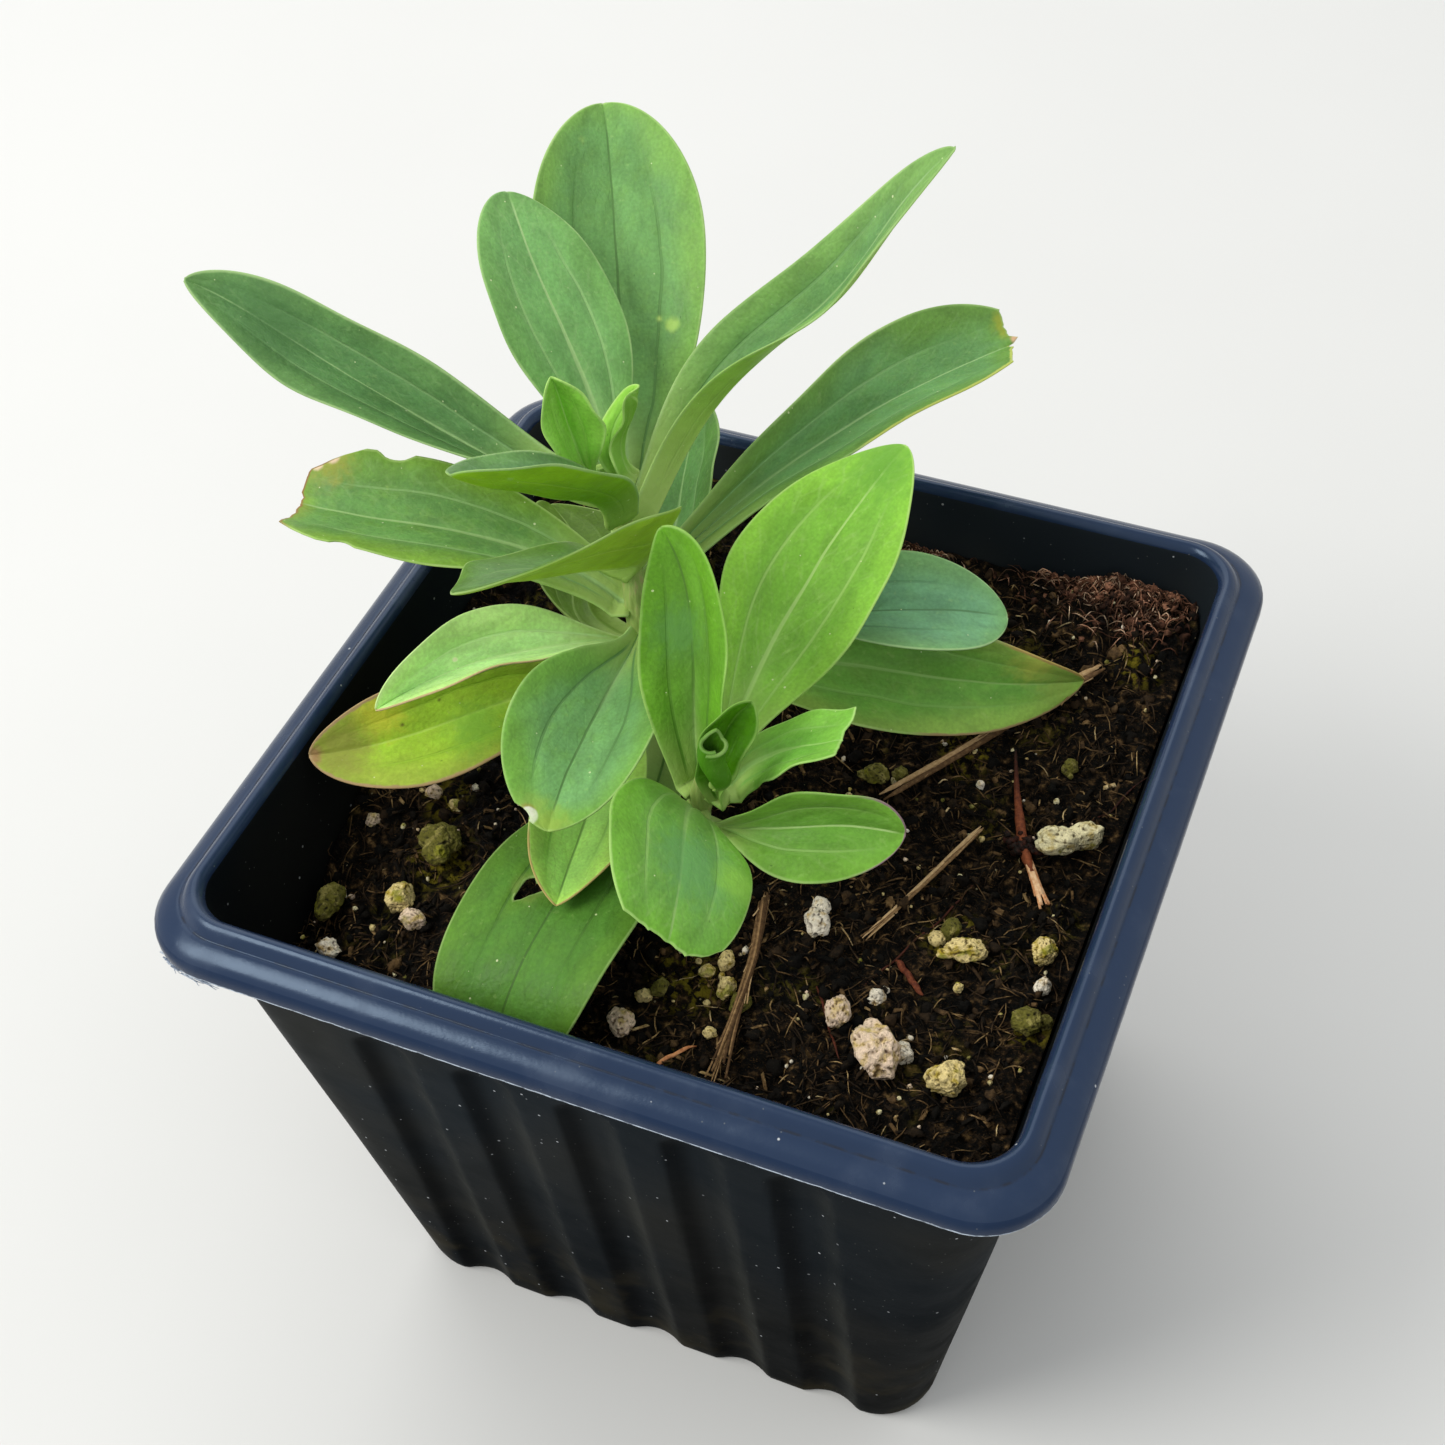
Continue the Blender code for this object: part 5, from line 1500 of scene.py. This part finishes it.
def build_rolled_leaf(leaf, seed):
    """The youngest leaf of the side shoot: a tube rolled from one sheet, with its point at the back."""
    turn = np.linspace(-1, 1, ROLL_COLUMNS)[None, :] * ROLL_TURNS * pi
    end = ROLL_END + (1 - ROLL_END) * np.maximum(0, 1 - np.abs(turn) / ROLL_POINT)
    share = np.linspace(0, 1, ROLL_ROWS)[:, None] * end
    swell = ROLL_MOUTH + (1 - ROLL_MOUTH) * np.sin(share * pi / 2) ** 0.7
    radius = ROLL_RADIUS * (1 - ROLL_TIGHTENING * turn) * swell
    grid = on_spine(leaf_spine(leaf), share)
    grid[..., 0] += radius * np.cos(ROLL_BACK + turn)
    grid[..., 1] += radius * np.sin(ROLL_BACK + turn)
    values = {
        "along": share * leaf.length,
        "across": turn * radius,
        "vein": ROLL_VEIN * radius,
        "edge": (end - share) * leaf.length + ROLL_EDGE,
    }
    half = np.full(share.shape, BLADE / 2)
    blade_piece(leaf, seed, grid, half, -half, values, np.ones((ROLL_ROWS - 1, ROLL_COLUMNS - 1), bool))


def clean_loose(thing):
    """Removes points that no face uses."""
    work = bmesh.new()
    work.from_mesh(thing.data)
    loose = [vertex for vertex in work.verts if not vertex.link_faces]
    bmesh.ops.delete(work, geom=loose, context="VERTS")
    work.to_mesh(thing.data)
    work.free()


def stem_material():
    shader = Shader("stem")
    streak = shader.place().stretch(1.6, 1.6, 0.25).noise(1.0, 3)
    return shader.finish(
        streak.ramp(STEM_TONES), 0.5, streak * 0.2, Subsurface_Weight=0.1, Subsurface_Scale=MM
    )


def build_stem(key, material):
    shoot = SHOOTS[key]
    heights = np.linspace(shoot.foot[2], shoot.top[2], STEM_STEPS)
    route = np.array([shoot_point(shoot, height) for height in heights])
    share = np.clip((heights - SOIL_LEVEL) / (shoot.top[2] - SOIL_LEVEL), 0, 1)
    plain = shoot.radius + (shoot.top_radius - shoot.radius) * share
    radii = plain * STEM_SLIMNESS
    for leaf in LEAVES:
        if leaf.shoot == key:
            radii *= 1 + NODE_SWELL * np.exp(-(((heights - leaf.height) / NODE_REACH) ** 2))
    radii = np.minimum(radii, plain * 1.15) * np.clip((shoot.top[2] - heights) / STEM_END, 0.05, 1) ** 0.5
    points, faces = tube(route, radii, STEM_SIDES)
    piece("stem_" + key + "_fine", points, faces, material, "stem", ("stem_" + key,))


# Grains and litter


def grain_material(look):
    base, stain, pit, green_share = GRAIN_LOOKS[look]
    shader = Shader("grain_" + look)
    place = shader.place()
    fine = place.noise(3.0, 4)
    colour = place.noise(0.9, 5).span(0.48, 0.68).blend(base, stain).shade(fine.span(0.3, 0.7, 0.84, 1.06))
    colour = colour.mix(place.noise(1.8, 4).span(0.58, 0.68) * 0.7, pit).mix(shader.value("pit") * 0.85, pit)
    colour = colour.mix(shader.value("low") * fine.span(0.3, 0.6), GRAIN_SOIL)
    green = place.stretch(1, 1, 1.3).noise(0.45, 3).span(0.57, 0.68)
    colour = colour.mix(green * green_share, GRAIN_ALGAE)
    return shader.finish(colour, 0.9, fine * 0.4 + place.noise(7, 2) * 0.1, Specular_IOR_Level=0.25)


def grain_slot(look):
    return "mossy_grit" if look == "moss" else "pumice"


def rock(base, seed, lobes=ONE_LOBE):
    """Points of a pitted lump with flat sides, and how deep each lies in a pit."""
    rng = np.random.default_rng(seed)
    direction = unit(base)
    radius = np.full(len(base), 0.16)
    for *middle, size in lobes:
        towards = direction @ np.array(middle)
        inside = np.maximum(towards**2 - np.dot(middle, middle) + size**2, 0)
        radius = np.maximum(radius, towards + np.sqrt(inside) * (inside > 0))
    sides = unit(rng.normal(size=(GRAIN_SIDES, 3)))
    reach = rng.uniform(0.78, 1.05, GRAIN_SIDES) / np.maximum(direction @ sides.T, 0.1)
    radius *= np.minimum(1.1, reach.min(axis=1))
    pits = np.zeros(len(base))
    for index, (x, y, z) in enumerate(direction):
        lumps = 0.12 * wander(x * 2.4 + seed, y * 2.4, z * 2.4) + 0.07 * wander(x * 6 + seed, y * 6, z * 6)
        hollow = max(0, wander(x * 4.5, y * 4.5 + seed, z * 4.5) - 0.22)
        radius[index] *= 1 + lumps - 0.4 * hollow
        pits[index] = min(1, hollow * 4)
    return direction * radius[:, None], pits


def build_grain(grain, seed, materials):
    """A pitted lump with the form and the place of its solid, which it fills."""
    base, faces = sphere(5)
    points, pits = rock(base, seed, grain.lobes)
    points[:, 2] = np.maximum(points[:, 2], GRAIN_FLAT)
    points = points * np.array(grain.size) @ spin(-radians(grain.turn))
    low, high = (np.array(corner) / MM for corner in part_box(grain.name))
    lowest, highest = points.min(axis=0), points.max(axis=0)
    points = low + (points - lowest) * (high - low) / (highest - lowest)
    share = (points[:, 2] - low[2]) / (high[2] - low[2])
    piece(
        grain.name + "_lump", points * MM, faces, materials[grain.look], grain_slot(grain.look), (grain.name,),
        pit=pits, low=np.clip(1 - share * 2.2, 0, 1),
    )


def build_bits(materials):
    """The small grains that lie on the peat, one mesh for each kind, and a scatter of specks."""
    rng = np.random.default_rng(31)
    fine, coarse = sphere(4), sphere(2)
    for look, material in materials.items():
        bits = [(*bit, fine) for bit in BITS.get(look, ())]
        bits += [(*inside_pot(rng), 0.3 * 2 ** rng.uniform(0, 1.6), coarse) for _ in range(SPECK_COUNT[look])]
        heap = Heap()
        for seed, (x, y, size, (base, faces)) in enumerate(bits):
            body, pits = rock(base, 40 + seed)
            body = body * rng.uniform(0.75, 1.2, 3) * size + (x, y, soil_top(x, y) + 0.22 * size)
            low = np.clip((0.1 * size - body[:, 2] + body[:, 2].min()) / (0.3 * size), 0, 1)
            heap.add(body * MM, faces, pit=pits, low=low)
        heap.piece("bits_" + look, material, grain_slot(look))


def litter_route(litter):
    """The middle line of a straw's solid, in millimetres, with many points."""
    corners = [vertex.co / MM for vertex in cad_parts[litter.name].data.vertices]
    stations = []
    for (x0, y0), (x1, y1) in zip(litter.points, litter.points[1:]):
        stations += [(x0, y0), ((x0 + x1) / 2, (y0 + y1) / 2)]
    stations.append(litter.points[-1])
    places = []
    for x, y in stations:
        near = [corner.z for corner in corners if hypot(corner.x - x, corner.y - y) < litter.radius * 1.3]
        places.append((x, y, (min(near) + max(near)) / 2))
    return smoothed(through(places, 60), 25) + (0, 0, litter.lift)


def draped(places, radius):
    """A smooth route over the peat through a few places, in millimetres."""
    line = through(places, 50)
    return smoothed(np.column_stack([line, [soil_top(x, y) + radius for x, y in line]]), 10)


def strands(heap, rng, line, radius, count, spread, flare, tones):
    """Several thin strands that run side by side along a line and part at its end."""
    share = np.linspace(0, 1, len(line))
    along = unit(np.gradient(line, axis=0))
    side = np.cross(along, (0, 0, 1.0))
    up = np.cross(side, along)
    for index in range(count):
        angle = 2 * np.pi * (index + rng.uniform(-0.2, 0.2)) / count
        reach = spread * (1 + flare * np.clip(share - 0.6, 0, 1) ** 1.5 * 8)
        weave = 0.25 * spread * np.sin(share * rng.uniform(4, 9) + rng.uniform(0, 6))
        route = line + side * (cos(angle) * reach + weave)[:, None] + up * (abs(sin(angle)) * spread * 0.6)
        start = int(rng.uniform(0, 0.08) * len(line))
        end = int(rng.uniform(0.85, 1.0) * len(line))
        radii = radius * rng.uniform(0.7, 1.1) * (1 - 0.3 * share)
        heap.tube(route[start:end:2], radii[start:end:2], 8, rng.uniform(*tones), 0.6)


def stripped(heap, rng, line, radius, tones, frays):
    """A flat split straw: two halves that part at an end, with frayed fibres along it."""
    share = np.linspace(0, 1, len(line))
    side = np.cross(unit(np.gradient(line, axis=0)), (0, 0, 1.0))
    wide = radius * 0.55 * (1 - 0.25 * share) * np.minimum(1, 12 * (1.02 - share))
    wide *= np.minimum(1, 9 * share + 0.3)
    for sign, tone in zip((-1, 1), tones):
        part = sign * radius * (0.42 + 0.35 * np.clip(share - 0.7, 0, 1) + 0.1 * np.sin(7 * share + sign))
        heap.tube(line + side * part[:, None], wide, 8, tone, 0.7)
    for _ in range(frays):
        start = int(rng.integers(0, len(line) * 3 // 4))
        stretch = slice(start, start + int(rng.integers(6, len(line) // 3)))
        rise = np.linspace(0, 1, len(line[stretch]))[:, None]
        fibre = line[stretch] + side[stretch] * radius * rng.uniform(-0.9, 0.9)
        fibre += side[stretch] * rng.normal(0, 0.5) * rise**2 + (0, 0, 0.3) * rise * rng.uniform(0.3, 1)
        heap.tube(fibre, np.full(len(fibre), rng.uniform(0.05, 0.1)), 5, rng.uniform(0.3, 0.9))


def build_twig(line, material):
    """A reddish twig: a thin dark start, a dark fibrous knot and a pale broken end of parting splinters."""
    rng = np.random.default_rng(29)
    heap = Heap()
    share = np.linspace(0, 1, len(line))
    radii = TWIG_RADIUS * np.interp(share, (0, 0.3, 0.5, 0.72, 0.78), (0.22, 0.45, 0.8, 0.9, 0.5))
    radii *= 1 + 0.08 * np.sin(share * 40) * np.sin(share * 17)
    last = int(0.8 * len(line))
    tones = np.interp(share[:last], (0, 0.2, 0.4, 0.7), (0.0, 0.2, 0.42, 0.5))
    heap.tube(line[:last], radii[:last], TWIG_SIDES, np.repeat(tones, TWIG_SIDES))
    strands(heap, rng, line[int(0.58 * len(line)):], 0.3, 6, 0.3, 0.9, (0.62, 1.0))
    base, faces = sphere(2)
    knot = line[int(0.66 * len(line))]
    for _ in range(KNOT_LUMPS):
        place = knot + rng.normal(0, (1.0, 0.6, 0.2)) + (0, 0, 0.5)
        lump = lump_points(rng, base, rng.uniform(0.7, 1.3)) + place
        heap.add(lump * MM, faces, tone=rng.uniform(0, 0.12))
    for _ in range(KNOT_FIBRES):
        heading = rng.uniform(0, 2 * np.pi)
        reach = rng.uniform(0.6, 1.7)
        end = knot + (reach * cos(heading), reach * sin(heading), rng.uniform(-0.2, 0.5))
        heap.tube(np.linspace(knot, end, 5), np.full(5, 0.09), 4, rng.uniform(0, 0.15))
    heap.piece("twig_orange_bark", material, "dry_straw", ("twig_orange",))


def build_litter():
    rng = np.random.default_rng(23)
    straw = tone_material("dry_straw", STRAW_TONES, 0.75, 2.2)
    twig = tone_material("twig_bark", TWIG_TONES, 0.6, 2.0)
    lines = {litter.name: litter_route(litter) for litter in LITTER}
    for name, radius, tones, frays in (("straw_long", 0.85, (0.3, 0.7), 18), ("straw_front", 0.45, (0.45, 0.8), 6)):
        heap = Heap()
        stripped(heap, rng, lines[name], radius, tones, frays)
        heap.piece(name + "_strands", straw, "dry_straw", (name,))
    heap = Heap()
    strands(heap, rng, lines["dead_stalk"], 0.2, 9, 0.4, 1.3, (0.1, 0.55))
    stripped(heap, rng, lines["dead_stalk"], 0.3, (0.3, 0.5), 14)
    heap.piece("dead_stalk_strands", straw, "dry_straw", ("dead_stalk",))
    build_twig(lines["twig_orange"], twig)
    heap = Heap()
    for radius, tone, places in ROOTS:
        line = draped(places, radius)
        taper = np.interp(np.linspace(0, 1, len(line)), (0, 0.15, 0.8, 1), (0.5, 1, 0.9, 0.3))
        heap.tube(line, radius * taper, 8, tone, 0.7)
    heap.piece("loose_roots", twig, "dry_straw")


def main():
    add_camera()
    add_studio()
    build_pot()
    build_soil()
    build_crumbs()
    build_fibres()
    stem = stem_material()
    for key in SHOOTS:
        build_stem(key, stem)
    for seed, leaf in enumerate(LEAVES):
        build = build_rolled_leaf if leaf.name == ROLLED else build_leaf
        build(leaf, seed)
    materials = {look: grain_material(look) for look in GRAIN_LOOKS}
    for seed, grain in enumerate(GRAINS):
        build_grain(grain, seed, materials)
    build_bits(materials)
    build_litter()
    build_burr()


main()
